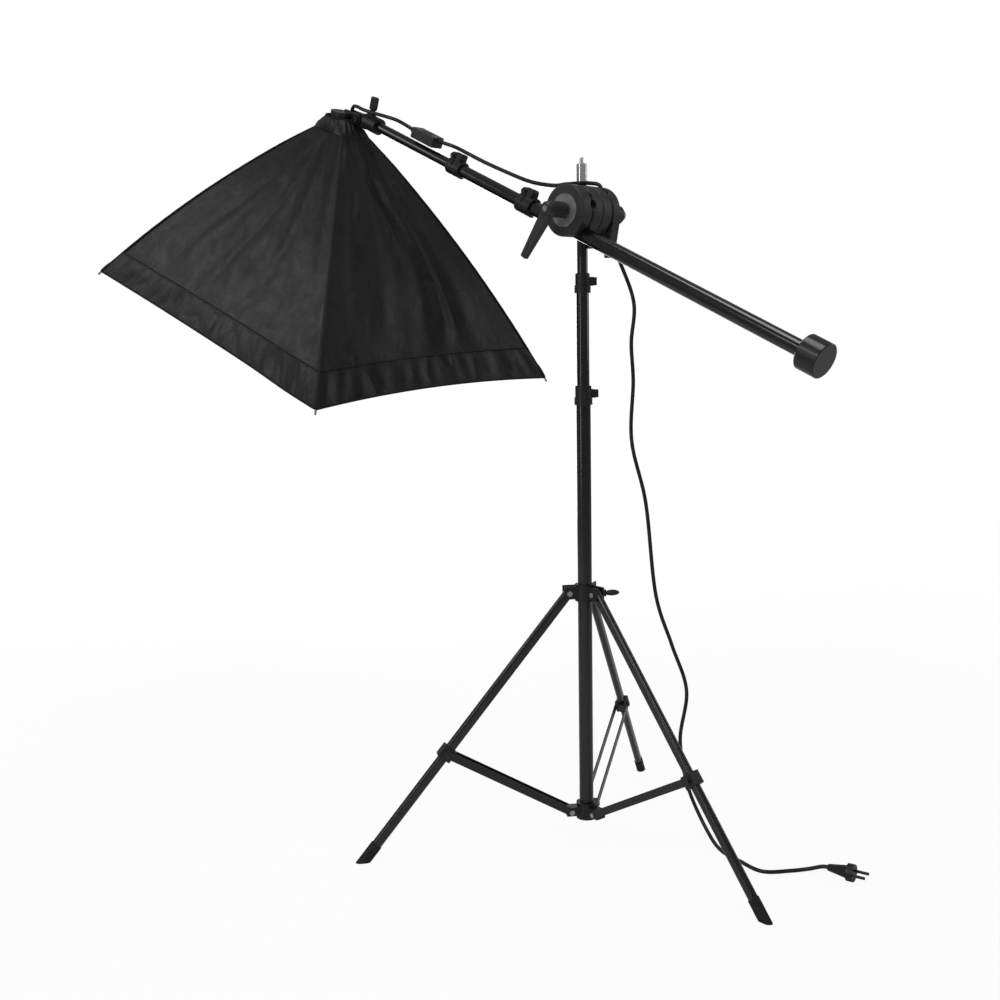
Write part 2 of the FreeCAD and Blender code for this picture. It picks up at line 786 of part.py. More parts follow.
def column_grooves(name):
    """The column's chord on the lamp side, a spare chord on the other side, and a thin level one."""
    spare = size("spare_groove_diameter") / 2
    cross = size("cross_groove_diameter") / 2
    return (
        cylinder(name + "_main", size("top_outer") / 2 + size("running_gap"), 160, (size("head_reach"), 0, -80)),
        cylinder(name + "_spare", spare, 160, (-size("spare_groove_offset"), 0, -80)),
        cylinder(
            name + "_cross", cross, 120, (-60, 0, -size("cross_groove_offset")), ALONG_X
        ),
    )


def grip_head():
    gap = size("jaw_gap") / 2
    front_frame = head_frame(size("boom_side"), tilted=True)
    outer = gap + size("jaw_thickness")
    front = cut("head_front_solid", jaw_disc("head_front_disc", gap, outer, 1.5), *boom_grooves("front_groove"))
    keep("head_front_jaw", front, front_frame)
    seam = SEAM - size("side_gap") / 2
    middle_disc = jaw_disc("head_middle_front_disc", -gap, -seam)
    middle = cut("head_middle_front_solid", middle_disc, *boom_grooves("mid_groove"))
    keep("head_middle_front", middle, front_frame)
    back_frame = head_frame(0.0, tilted=False)
    middle_back = cut(
        "head_middle_back_solid", jaw_disc("head_middle_back_disc", gap, seam), *column_grooves("back_groove")
    )
    keep("head_middle_back", middle_back, back_frame)
    keep("head_back_jaw", back_jaw(gap), back_frame)
    washer = cylinder("head_washer_disc", 23.8, 2, (0, outer - 1.5, 0), ALONG_Y)
    washer_hole = cylinder("head_washer_hole", size("head_bolt_diameter") / 2 + 0.1, 6, (0, outer - 3, 0), ALONG_Y)
    keep("head_washer", cut("head_washer_solid", washer, washer_hole), front_frame)
    head_bolt(back_frame, gap)
    head_lever(outer + 0.5)


REAR_BOSS = 38


def back_jaw(gap):
    """The rear disc: its lower half runs down into a flat-sided block, and a boss behind it holds the bolt's end."""
    rear = -(gap + 16)
    disc = jaw_disc("head_back_disc", -gap, rear)
    owner = body("head_back_block")
    profile = sketch(owner, "XZ_Plane", gap)
    add_polygon(profile, [(-36, -12), (36, -12), (29, -46), (24, -50), (-24, -50), (-29, -46)])
    pad(owner, profile, 16.0)
    stub = cylinder("head_back_stub", 6.5, 22, (-size("spare_groove_offset"), rear / 2 - 1, -66))
    boss = cylinder("head_back_boss", 14, REAR_BOSS + 1, (0, rear - REAR_BOSS, 0), ALONG_Y)
    bore_radius = size("head_bolt_diameter") / 2 + size("running_gap")
    boss_bore = cylinder("head_back_bore", bore_radius, 80, (0, -60, 0), ALONG_Y)
    joined = fuse("head_back_joined", disc, owner, stub, boss)
    return cut("head_back_solid", joined, boss_bore, *column_grooves("rear_groove"))


def head_bolt(back_frame, gap):
    """The through bolt on the head's axis, with a domed nut at the back."""
    rear = -(gap + 16) - REAR_BOSS
    lever_face = size("boom_side") + gap + size("jaw_thickness") + 0.5
    shank = cylinder(
        "head_bolt_shank", size("head_bolt_diameter") / 2, lever_face + 35 - rear, (0, rear - 5, 0), ALONG_Y
    )
    nut = turned(
        "head_bolt_nut",
        [(0, 0), (9, 0), (9, -7), (7.6, -10.5), (4.5, -12.6), (0, -13.2)],
        (0, rear - 0.1, 0),
        ALONG_Y,
    )
    keep("head_bolt", fuse("head_bolt_solid", shank, nut), back_frame)


LEVER_HANG = 36


def head_lever(face):
    """The tightening lever: a tapered hub on the bolt and a flat arm that hangs from the hub's end."""
    hub = turned(
        "head_lever_hub",
        [
            (size("head_bolt_diameter") / 2 + size("running_gap"), 0),
            (9.5, 0),
            (11.5, 3),
            (11.5, 30),
            (10, 38),
            (7.5, 42),
            (5, 42),
            (5, 34),
            (size("head_bolt_diameter") / 2 + size("running_gap"), 34),
        ],
        (0, 0, 0),
        ALONG_Y,
    )
    arm = doc.addObject("Part::Wedge", "head_lever_arm")
    arm.Xmin, arm.Xmax = -9, 9
    arm.Zmin, arm.Zmax = 24, 37
    arm.X2min, arm.X2max = -5.5, 5.5
    arm.Z2min, arm.Z2max = 30, 39
    arm.Ymin, arm.Ymax = 7, 80
    arm.Placement = Placement(Vector(), Rotation(Vector(1, 0, 0), -90))
    eased = rounded("head_lever_eased", arm, 2.5, lambda edge: edge.Length > 60)
    bore = cylinder("head_lever_bore", 5.05, 34.5, (0, -0.5, 0), ALONG_Y)
    solid = cut("head_lever_solid", fuse("head_lever_joined", hub, eased), bore)
    lever_place = frame(
        Vector(HEAD_X, -size("boom_side") - face, HEAD_Z),
        Vector(-math.cos(math.radians(LEVER_HANG)), 0, math.sin(math.radians(LEVER_HANG))),
        Vector(math.sin(math.radians(LEVER_HANG)), 0, math.cos(math.radians(LEVER_HANG))),
    )
    keep("head_lever", solid, lever_place)
    screw = cylinder("head_lever_screw_head", 4.6, 6, (0, 35, 0), ALONG_Y)
    slot = block("head_lever_screw_slot", 1.2, 2, 10, (0, 41, 0))
    keep("head_lever_screw", cut("head_lever_screw_solid", screw, slot), lever_place)


# ---------------------------------------------------------------- boom

def boom_tubes():
    tail = size("boom_tail")
    keep(
        "boom_main_tube",
        round_tube("boom_main_tube", size("lower_outer"), tail + size("main_end") - 10, (-tail, 0, 0), ALONG_X),
        BOOM_FRAME,
    )
    middle_start = size("middle_end") - 10 - size("boom_middle_length")
    keep(
        "boom_middle_tube",
        round_tube(
            "boom_middle_tube", size("middle_outer"), size("boom_middle_length"), (middle_start, 0, 0), ALONG_X
        ),
        BOOM_FRAME,
    )
    end_start = size("boom_tip") - size("boom_end_length")
    keep(
        "boom_end_tube",
        round_tube("boom_end_tube", size("top_outer"), size("boom_end_length"), (end_start, 0, 0), ALONG_X),
        BOOM_FRAME,
    )


def boom_clamp(label, outer, inner, end, wall=3.6):
    """A split clamp fixed on one tube's end: its ears close a slotted ring on the thinner tube."""
    length = 30
    start = end - length
    radius = outer / 2 + wall
    ear_height = outer / 2 + 13
    sleeve = cylinder(label + "_sleeve", radius, length, (start, 0, 0), ALONG_X)
    ears = block(label + "_ears", 22, 15, ear_height, (end - 13, 0, ear_height / 2))
    eased = rounded(label + "_eased", ears, 3, lambda edge: edge.CenterOfMass.z > float(ear_height) - 0.1)
    seat = cylinder(label + "_seat", outer / 2, 20, (start, 0, 0), ALONG_X)
    bore = cylinder(label + "_bore", inner / 2 + size("running_gap"), 40, (start - 5, 0, 0), ALONG_X)
    long_slot = block(label + "_long_slot", 16, 1.8, 60, (end - 8, 0, 30))
    cross_slot = block(label + "_cross_slot", 1.8, 60, 60, (end - 13, 0, 30 + 3))
    hole_start = (end - 6, -30, clamp_screw_height(outer))
    screw_hole = cylinder(label + "_screw_hole", 2.5 + size("running_gap"), 60, hole_start, ALONG_Y)
    joined = fuse(label + "_joined", sleeve, eased)
    keep(label, cut(label + "_solid", joined, seat, bore, long_slot, cross_slot, screw_hole), BOOM_FRAME)


def clamp_screw_height(outer):
    return outer / 2 + 7.5


def boom_clamp_screw(label, outer, end):
    """The clamp's thumb screw: its knurled knob is on the side away from the lever."""
    height = clamp_screw_height(outer)
    shank = cylinder(label + "_shank", 2.5, 15.4, (end - 6, -7.7, height), ALONG_Y)
    head = cylinder(label + "_head", 3.8, 2.2, (end - 6, 7.6, height), ALONG_Y)
    neck = cylinder(label + "_neck", 4, 3, (end - 6, -10.6, height), ALONG_Y)
    grip = block(label + "_grip", 13, 9, 5, (end - 6, -15, height))
    eased = rounded(label + "_eased", grip, 2.2, lambda edge: runs_along(edge, "y"))
    keep(label, fuse(label + "_solid", shank, head, neck, eased), BOOM_FRAME)


def counterweight():
    """A steel cylinder on the boom's tail, held by a stud that is plugged into the tube."""
    radius = size("counterweight_diameter") / 2
    length = size("counterweight_length")
    outline = [
        (5, 0),
        (radius - 1, 0),
        (radius, 1),
        (radius, length - 1),
        (radius - 1, length),
        (0, length),
        (0, 22),
        (5, 22),
    ]
    tail = Rotation(Vector(0, 1, 0), -90)
    keep("counterweight", turned("counterweight", outline, (-size("boom_tail"), 0, 0), tail), BOOM_FRAME)
    plug = size("lower_outer") / 2 - size("tube_wall")
    stud_outline = [(0, -20), (plug, -20), (plug, 0), (5, 0), (5, 21.5), (0, 21.5)]
    stud = turned("counterweight_stud", stud_outline, (-size("boom_tail"), 0, 0), tail)
    keep("counterweight_stud", stud, BOOM_FRAME)


def boom():
    boom_tubes()
    boom_clamp("boom_clamp_main", size("lower_outer"), size("middle_outer"), size("main_end"))
    boom_clamp("boom_clamp_middle", size("middle_outer"), size("top_outer"), size("middle_end"))
    boom_clamp_screw("boom_clamp_main_screw", size("lower_outer"), size("main_end"))
    boom_clamp_screw("boom_clamp_middle_screw", size("middle_outer"), size("middle_end"))
    counterweight()


# ---------------------------------------------------------------- tilt bracket and lamp holder

PIVOT_PIN = 3.0
LAMP_AXIS_X = -6
CHEEK_INSIDE = size("tongue_thickness") / 2 + size("side_gap")
CHEEK_OUTSIDE = CHEEK_INSIDE + 4


RECEIVER_LENGTH = 34
KNOB_ALONG = size("receiver_start") + 25


def receiver():
    """The bracket's sleeve on the boom's tip, with a tongue that reaches the tilt pivot."""
    start = size("receiver_start")
    pivot = size("tilt_pivot_along")
    width = size("tongue_thickness")
    sleeve = cylinder("receiver_sleeve", 13.5, RECEIVER_LENGTH, (start, 0, 0), ALONG_X)
    boss = cylinder("receiver_boss", 6.5, 8, (KNOB_ALONG, 0, 9))
    root = start + RECEIVER_LENGTH - 2
    tongue = block("receiver_tongue", pivot - root, width, 22, ((pivot + root) / 2, 0, -3))
    tongue_end = cylinder("receiver_tongue_end", 9, width, (pivot, -width / 2, -3), ALONG_Y)
    window = block("receiver_window", 6, 20, 11, (pivot - 14, 0, -3))
    bore = cylinder("receiver_bore", size("top_outer") / 2 + size("running_gap"), 33, (start - 0.5, 0, 0), ALONG_X)
    pivot_hole = cylinder("receiver_pivot_hole", PIVOT_PIN + size("running_gap"), 40, (pivot, -20, -3), ALONG_Y)
    stem_hole = cylinder("receiver_stem_hole", STEM / 2 + size("running_gap"), 30, (KNOB_ALONG, 0, 0))
    joined = fuse("receiver_joined", sleeve, boss, tongue, tongue_end)
    corners = (pivot + 6, -3 + 14), (pivot + 6, -3 - 14)
    trims = [block("receiver_trim_%d" % i, 18, 20, 10, (x, 0, z)) for i, (x, z) in enumerate(corners)]
    solid = cut("receiver_solid", joined, bore, pivot_hole, stem_hole, window, *trims)
    keep("bracket_receiver", solid, BRACKET_FRAME)


def receiver_knob():
    """The upright paddle screw that locks the bracket on the boom."""
    start = size("top_outer") / 2 + 2 * size("running_gap")
    stem = cylinder("receiver_knob_stem", STEM / 2, 14, (KNOB_ALONG, 0, start))
    neck = cylinder("receiver_knob_neck", 4.6, 7, (KNOB_ALONG, 0, 17 + size("side_gap")))
    paddle = block("receiver_knob_paddle", 6.4, 14, 22, (0, 0, 32))
    eased = rounded("receiver_knob_eased", paddle, 3, lambda edge: True)
    move(eased, Placement(Vector(KNOB_ALONG, 0, 0), Rotation(Z_AXIS, 125)))
    keep("bracket_receiver_knob", fuse("receiver_knob_solid", stem, neck, eased), BRACKET_FRAME)


def lamp_holder():
    """The lamp's body: a barrel through the softbox's neck, and two cheeks around the bracket's tongue."""
    pivot = TILT_PIVOT_IN_SOFTBOX
    radius = size("lamp_body_diameter") / 2
    barrel = cylinder("lamp_barrel", radius, 84, (LAMP_AXIS_X, 0, 268))
    dome = cylinder("lamp_block", radius - 1, 30, (LAMP_AXIS_X, 0, 350))
    bridge = block("lamp_cheek_bridge", 24, 20, 11, (1, 12, 372))
    solids = [barrel, dome, bridge]
    for side, name in ((1, "back"), (-1, "front")):
        centre_y = pivot.y + side * (CHEEK_INSIDE + 2)
        web = block("lamp_cheek_web_" + name, 36, 4, 18, (pivot.x - 18, centre_y, pivot.z))
        tip = cylinder("lamp_cheek_tip_" + name, 9, 4, (pivot.x, centre_y - 2, pivot.z), ALONG_Y)
        solids += [web, tip]
    room = block("lamp_tongue_room", 60, CHEEK_INSIDE * 2, 60, (pivot.x + 18, pivot.y, pivot.z))
    cavity = cylinder("lamp_cavity", 17, 43, (LAMP_AXIS_X, 0, 267))
    hole_start = (pivot.x, pivot.y - 30, pivot.z)
    hole = cylinder("lamp_pivot_hole", PIVOT_PIN + size("running_gap"), 60, hole_start, ALONG_Y)
    solid = cut("lamp_holder_solid", fuse("lamp_holder_joined", *solids), room, cavity, hole)
    keep("lamp_holder", solid, SOFTBOX_FRAME)


def tilt_knob():
    """The tilt pivot's screw, with a hexagon head in front and a lobed knob behind."""
    pivot = TILT_PIVOT_IN_SOFTBOX
    reach = CHEEK_OUTSIDE + 0.1
    shank = cylinder("tilt_knob_shank", PIVOT_PIN, reach * 2, (pivot.x, pivot.y - reach, pivot.z), ALONG_Y)
    head = doc.addObject("Part::Prism", "tilt_knob_hexagon")
    head.Polygon = 6
    head.Circumradius = 5.6
    head.Height = 3.5
    place(head, (pivot.x, pivot.y - reach - 3.5, pivot.z), ALONG_Y)
    collar = cylinder("tilt_knob_collar", 6, 5, (pivot.x, pivot.y + reach, pivot.z), ALONG_Y)
    disc = cylinder("tilt_knob_disc", 11, 11, (pivot.x, pivot.y + reach + 5, pivot.z), ALONG_Y)
    flutes = []
    for i in range(6):
        angle = math.radians(60 * i)
        centre = (pivot.x + 13.5 * math.cos(angle), pivot.y + reach + 4, pivot.z + 13.5 * math.sin(angle))
        flutes.append(cylinder("tilt_knob_flute_%d" % i, 4, 14, centre, ALONG_Y))
    fluted = cut("tilt_knob_fluted", disc, *flutes)
    keep("tilt_knob", fuse("tilt_knob_solid", shank, head, collar, fluted), SOFTBOX_FRAME)


def lamp_socket():
    """The ceramic screw socket inside the lamp's body."""
    outline = [(13.8, 262), (16.9, 262), (16.9, 309.5), (0, 309.5), (0, 300), (13.8, 300)]
    keep("lamp_socket", turned("lamp_socket", outline, (LAMP_AXIS_X, 0, 0)), SOFTBOX_FRAME)


BULB_TUBE = 6.0
BULB_RING = 22.0
BULB_BEND = BULB_RING * math.sin(math.radians(22.5))


def lamp_bulb():
    """A compact fluorescent bulb: screw cap, ballast housing and four U-shaped glass tubes."""
    housing = turned(
        "lamp_bulb_housing",
        [
            (0, 292),
            (4.5, 292),
            (6, 288),
            (13.1, 286),
            (13.1, 261),
            (19, 257),
            (31, 236),
            (31, 205),
            (29, 202),
            (0, 202),
        ],
        (LAMP_AXIS_X, 0, 0),
    )
    tubes = []
    low = 84
    for i in range(4):
        turn = Placement(Vector(LAMP_AXIS_X, 0, 0), Rotation(Z_AXIS, 90 * i))
        reach = BULB_RING * math.cos(math.radians(22.5))
        parts = []
        for side, name in ((1, "left"), (-1, "right")):
            parts.append(
                cylinder("bulb_tube_%d_%s" % (i, name), BULB_TUBE, 202 - low, (reach, side * BULB_BEND, low))
            )
        bend = doc.addObject("Part::Torus", "bulb_bend_%d" % i)
        bend.Radius1 = BULB_BEND
        bend.Radius2 = BULB_TUBE
        bend.Angle3 = 180
        bend.Placement = Placement(Vector(reach, 0, low), Rotation(Vector(0, 1, 0), 90) * Rotation(Z_AXIS, -90))
        tube = fuse("bulb_loop_%d" % i, *parts, bend)
        move(tube, turn)
        tubes.append(tube)
    group = doc.addObject("Part::Compound", "lamp_bulb_group")
    group.Links = [housing] + tubes
    keep("lamp_bulb", group, SOFTBOX_FRAME)


# ---------------------------------------------------------------- softbox

# A step runs along a rib, from 0 at the open rim to 1 at the neck. The ribs bow outwards between the two.
BAND_STEP = 0.117
PANEL_STEPS = (BAND_STEP, 0.3, 0.5, 0.7, 0.9)
DIFFUSER_STEP = 0.0155
SHELL_INSET = size("fabric_thickness") * 1.3


def height_at(step):
    """Height above the rim at a step along the ribs."""
    return size("softbox_depth") * step + size("panel_rise") * (4 * step * (1 - step))


def share_at(step):
    """The outline's size at a step, as a share of the rim's."""
    return 1 - (1 - size("neck_share")) * step + size("panel_swell") * (4 * step * (1 - step))


def loft(owner, kind, levels, inset):
    """A straight-sided loft through rectangles at (height, share of the rim) levels, added or cut."""
    profiles = []
    for height, share in levels:
        profile = sketch(owner, "XY_Plane", height)
        add_rectangle(profile, size("rim_long") * share - 2 * inset, size("rim_short") * share - 2 * inset)
        profiles.append(profile)
    item = owner.newObject("PartDesign::" + kind, owner.Name + "_" + kind)
    item.Profile = profiles[0]
    item.Sections = profiles[1:]
    item.Ruled = True
    owner.Tip = item


def extended(level, neighbour, amount):
    """A level moved away from its neighbour by a height, on the straight line through both."""
    slope = (level[1] - neighbour[1]) / (level[0] - neighbour[0])
    step = amount if level[0] > neighbour[0] else -amount
    return (level[0] + step, level[1] + slope * step)


def hollow_loft(name, steps, outer_inset, inner_inset, roof=-1.0):
    """A loft with its inside cut away. The cut passes the open ends by 1, or stops below a roof this thick."""
    owner = body(name)
    levels = [(height_at(step), share_at(step)) for step in steps]
    loft(owner, "AdditiveLoft", levels, outer_inset)
    first = extended(levels[0], levels[1], 1.0)
    last = extended(levels[-1], levels[-2], -roof)
    loft(owner, "SubtractiveLoft", [first] + levels[1:-1] + [last], inner_inset)
    return owner


def softbox_shell():
    """The black fabric pyramid above its rim band, closed at the top around the lamp by a short gathered sleeve."""
    top = size("softbox_depth")
    owner = hollow_loft("softbox_fabric", PANEL_STEPS + (1.0,), 0.0, SHELL_INSET, size("fabric_thickness"))
    sleeve = cone("softbox_sleeve", 27, 24, 19, (LAMP_AXIS_X, 0, top))
    hole = cylinder("softbox_lamp_hole", size("lamp_body_diameter") / 2 + 0.2, 60, (LAMP_AXIS_X, 0, top - 20))
    solid = cut("softbox_shell_solid", fuse("softbox_shell_joined", owner, sleeve), hole)
    keep("softbox_shell", solid, SOFTBOX_FRAME)


def softbox_rim_band():
    """The band sewn around the open rim, which holds the rib ends and the diffuser."""
    owner = hollow_loft("softbox_rim_band", (0.0, BAND_STEP), 0.0, SHELL_INSET)
    keep("softbox_rim_band", owner, SOFTBOX_FRAME)


def softbox_lining():
    """The silver lining, just inside the fabric."""
    gap = SHELL_INSET + 0.3
    inner = gap + size("lining_thickness") * 1.3
    keep("softbox_lining", hollow_loft("softbox_lining", PANEL_STEPS, gap, inner), SOFTBOX_FRAME)


def softbox_diffuser():
    """The white front cloth, set just inside the rim."""
    owner = body("softbox_diffuser")
    profile = sketch(owner, "XY_Plane", height_at(DIFFUSER_STEP))
    inset = 2 * (SHELL_INSET + 2.5)
    share = share_at(DIFFUSER_STEP)
    add_rectangle(profile, size("rim_long") * share - inset, size("rim_short") * share - inset)
    pad(owner, profile, 1.5)
    keep("softbox_diffuser", owner, SOFTBOX_FRAME)


RIB_INSET = 9.0
RIB_STEPS = (0.78, 0.6, 0.4, 0.2, 0.035)
RING_LONG = 124
RING_SHORT = 84
RING_HEIGHT = 300


def softbox_ribs():
    """Four bowed spring rods, from the ring on the lamp to pockets in the rim's corners."""
    rods = []
    for index, (x_side, y_side) in enumerate(((1, 1), (-1, 1), (-1, -1), (1, -1))):
        points = [(x_side * (RING_LONG / 2 - 3), y_side * (RING_SHORT / 2 - 3), RING_HEIGHT)]
        for step in RIB_STEPS:
            x = size("rim_long") * share_at(step) / 2 - RIB_INSET
            y = size("rim_short") * share_at(step) / 2 - RIB_INSET
            points.append((x_side * x, y_side * y, height_at(step)))
        rods.append(bent_rod("softbox_rib_%d" % index, points, size("rib_diameter") / 2))
    compound = doc.addObject("Part::Compound", "softbox_ribs_group")
    compound.Links = rods
    keep("softbox_ribs", compound, SOFTBOX_FRAME)


def rib_ring():
    """The speed ring: a rounded plate around the lamp's barrel that the ribs plug into."""
    plate = block("rib_ring_plate", RING_LONG, RING_SHORT, 8, (0, 0, RING_HEIGHT))
    eased = rounded("rib_ring_eased", plate, 8, lambda edge: runs_along(edge, "z"))
    hole = cylinder("rib_ring_hole", size("lamp_body_diameter") / 2, 20, (LAMP_AXIS_X, 0, RING_HEIGHT - 10))
    keep("rib_ring", cut("rib_ring_solid", eased, hole), SOFTBOX_FRAME)


def softbox():
    softbox_shell()
    softbox_rim_band()
    softbox_lining()
    softbox_diffuser()
    softbox_ribs()
    rib_ring()


# ---------------------------------------------------------------- power lead

SWITCH_ALONG = 331
SWITCH_UP = 21


def round_lead(label, points, placement=None):
    """A round cable through the points."""
    keep(label, bent_rod(label, points, size("lead_diameter") / 2), placement)


def boom_point(along, side, up):
    """A point given in the boom's frame, in the assembly's frame."""
    point = BOOM_FRAME.multVec(Vector(along, side, up))
    return (point.x, point.y, point.z)


def switch():
    """The in-line switch: a rounded case with a rocker on its upper face."""
    case = block("switch_block", 58, 25, 17, (SWITCH_ALONG, 0, SWITCH_UP))
    eased = rounded("switch_eased", case, 5, lambda edge: runs_along(edge, "z"))
    softened = rounded("switch_softened", eased, 2, lambda edge: abs(edge.CenterOfMass.z - SWITCH_UP) > 8.4)
    well = block("switch_well", 17, 10.4, 6, (SWITCH_ALONG, 0, SWITCH_UP + 7.5))
    pin_bore = cylinder("switch_pin_bore", 1.0, 14.4, (SWITCH_ALONG, -7.2, SWITCH_UP + 6), ALONG_Y)
    keep("switch_case", cut("switch_case_solid", softened, well, pin_bore), BOOM_FRAME)
    plate = block("switch_rocker_plate", 15.6, 9.8, 3, (SWITCH_ALONG, 0, SWITCH_UP + 7.9))
    pin = cylinder("switch_rocker_pin", 0.95, 14, (SWITCH_ALONG, -7, SWITCH_UP + 6), ALONG_Y)
    hub = cylinder("switch_rocker_hub", 1.8, 9.6, (SWITCH_ALONG, -4.8, SWITCH_UP + 6.4), ALONG_Y)
    keep("switch_rocker", fuse("switch_rocker_solid", plate, pin, hub), BOOM_FRAME)


def power_lead():
    """Three stretches: lamp to switch, switch to head along the boom, and head to floor beside the column."""
    near = 30
    far = 36
    round_lead(
        "lead_lamp",
        [
            boom_point(SWITCH_ALONG + near, 0, SWITCH_UP),
            boom_point(SWITCH_ALONG + far, 1, SWITCH_UP + 1),
            boom_point(400, 8, 26),
            boom_point(430, 10, 23.5),
            boom_point(459, 12, 20),
            boom_point(491, 11, 16.5),
            boom_point(515, 6, 15),
            boom_point(531, 0, 10),
            boom_point(536, -2, 2),
        ],
    )
    round_lead(
        "lead_boom",
        [
            boom_point(SWITCH_ALONG - near, 0, SWITCH_UP),
            boom_point(SWITCH_ALONG - far, -1, SWITCH_UP),
            boom_point(270, -10, 24),
            boom_point(240, -11.5, 25),
            boom_point(205, -10, 22),
            boom_point(150, -9, 25),
            boom_point(95, -9, 29),
            boom_point(48, -14, 38),
            (2, -38, 1022),
            (12.8, -23.6, 1023.6),
        ],
    )
    floor_height = size("lead_diameter") / 2 + 0.2
    round_lead(
        "lead_drop",
        [
            (13.6, -21.6, 1023.8),
            (18, -2, 1024.5),
            (17, 21, 1023),
            (9, 38, 1006),
            (3, 47, 985),
            (4, 55, 955),
            (13, 73, 913),
            (28, 87, 856),
            (26, 85, 640),
            (40, 100, 545),
            (53, 113, 384),
            (87, 146, 236),
            (80, 139, 153),
            (89, 148, 75),
            (130, 142, 14),
            (176, 115, floor_height),
            (220, 101, floor_height),
            (268, 93, floor_height),
            (296, 124, floor_height),
            (340, 152, floor_height),
        ],
    )
    plug()


def plug():
    """A plain two-pin plug at the lead's end, lying on the floor."""
    end = Vector(341, 152.2, 0)
    moulding = cone("plug_moulding", 5, 10, 30, (0, 0, 0), ALONG_X)
    face = cylinder("plug_face", 13, 10, (29.5, 0, 0), ALONG_X)
    pins = [cylinder("plug_pin_%d" % i, 2.2, 19, (39, side * 9, 0), ALONG_X) for i, side in enumerate((-1, 1))]
    joined = fuse("plug_solid", moulding, face, *pins)
    heading = math.degrees(math.atan2(10, 60))
    keep("lead_plug", joined, Placement(end + Vector(0.2, 0, 13.1), Rotation(Z_AXIS, heading)))


# ---------------------------------------------------------------- whole model

def check_and_write():
    """Refuse a failed or empty object, then write one file for each sub-part."""
    failed = [item.Name for item in doc.Objects if {"Invalid", "Error"} & set(item.State)]
    for label, item in nodes.items():
        if item.Shape.isNull() or not item.Shape.isValid() or not item.Shape.Solids:
            failed.append(label)
    if failed:
        raise SystemExit("failed objects: " + ", ".join(failed))
    os.makedirs("parts", exist_ok=True)
    for label, item in nodes.items():
        item.Shape.exportStep(os.path.join("parts", label + ".step"))


stand()
column()
grip_head()
boom()
receiver()
receiver_knob()
lamp_holder()
tilt_knob()
lamp_socket()
lamp_bulb()
softbox()
switch()
power_lead()
doc.recompute()
check_and_write()
print(len(nodes), "sub-parts")
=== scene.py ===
"""Looks of the boom softbox light: fabric, finishes, cables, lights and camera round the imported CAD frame."""
import json
import math

import bpy
import numpy as np
from mathutils import Matrix, Vector, noise


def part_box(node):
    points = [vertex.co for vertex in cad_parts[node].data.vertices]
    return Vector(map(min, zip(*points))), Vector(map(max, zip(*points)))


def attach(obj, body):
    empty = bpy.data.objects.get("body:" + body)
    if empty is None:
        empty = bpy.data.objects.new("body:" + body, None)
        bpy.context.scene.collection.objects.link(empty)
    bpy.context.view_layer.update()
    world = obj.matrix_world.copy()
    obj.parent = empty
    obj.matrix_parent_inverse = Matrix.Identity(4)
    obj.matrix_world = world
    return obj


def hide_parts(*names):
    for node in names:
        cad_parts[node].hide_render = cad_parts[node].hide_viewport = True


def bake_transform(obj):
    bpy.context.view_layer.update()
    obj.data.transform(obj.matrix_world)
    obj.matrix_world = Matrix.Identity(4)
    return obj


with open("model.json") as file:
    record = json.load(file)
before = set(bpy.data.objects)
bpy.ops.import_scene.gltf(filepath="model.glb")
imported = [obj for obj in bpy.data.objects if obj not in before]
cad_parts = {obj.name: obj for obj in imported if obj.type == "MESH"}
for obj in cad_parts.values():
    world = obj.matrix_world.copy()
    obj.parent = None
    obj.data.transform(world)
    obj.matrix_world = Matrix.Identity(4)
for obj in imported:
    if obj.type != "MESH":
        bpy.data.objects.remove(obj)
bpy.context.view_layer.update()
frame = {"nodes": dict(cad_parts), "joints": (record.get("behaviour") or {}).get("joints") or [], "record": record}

MM = 0.001
HEAD_SIDE = -44 * MM
HEAD_HEIGHT = 966 * MM
LAMP_X = -6 * MM
joints = {joint["name"]: joint for joint in frame["joints"]}


# ---------------------------------------------------------------- frames taken from the joints

def softbox_frame():
    """Origin in the middle of the open rim, X along the long side, Z towards the lamp's neck."""
    up = Vector(joints["bulb_screw"]["axis"]).normalized()
    across = -Vector(joints["lamp_tilt"]["axis"]).normalized()
    along = across.cross(up).normalized()
    across = up.cross(along)
    origin = Vector(joints["bulb_screw"]["pos_m"]) - along * LAMP_X
    matrix = Matrix((along, across, up)).transposed().to_4x4()
    matrix.translation = origin
    return matrix


def boom_frame():
    """X along the boom towards its tip, Y towards the lever's side, Z up across the boom."""
    along = Vector(joints["boom_slide"]["axis"]).normalized()
    side = Vector((0, -1, 0))
    matrix = Matrix((along, side, along.cross(side))).transposed().to_4x4()
    matrix.translation = Vector((0, HEAD_SIDE, HEAD_HEIGHT))
    return matrix


SOFTBOX = softbox_frame()
BOOM = boom_frame()


# ---------------------------------------------------------------- material graphs

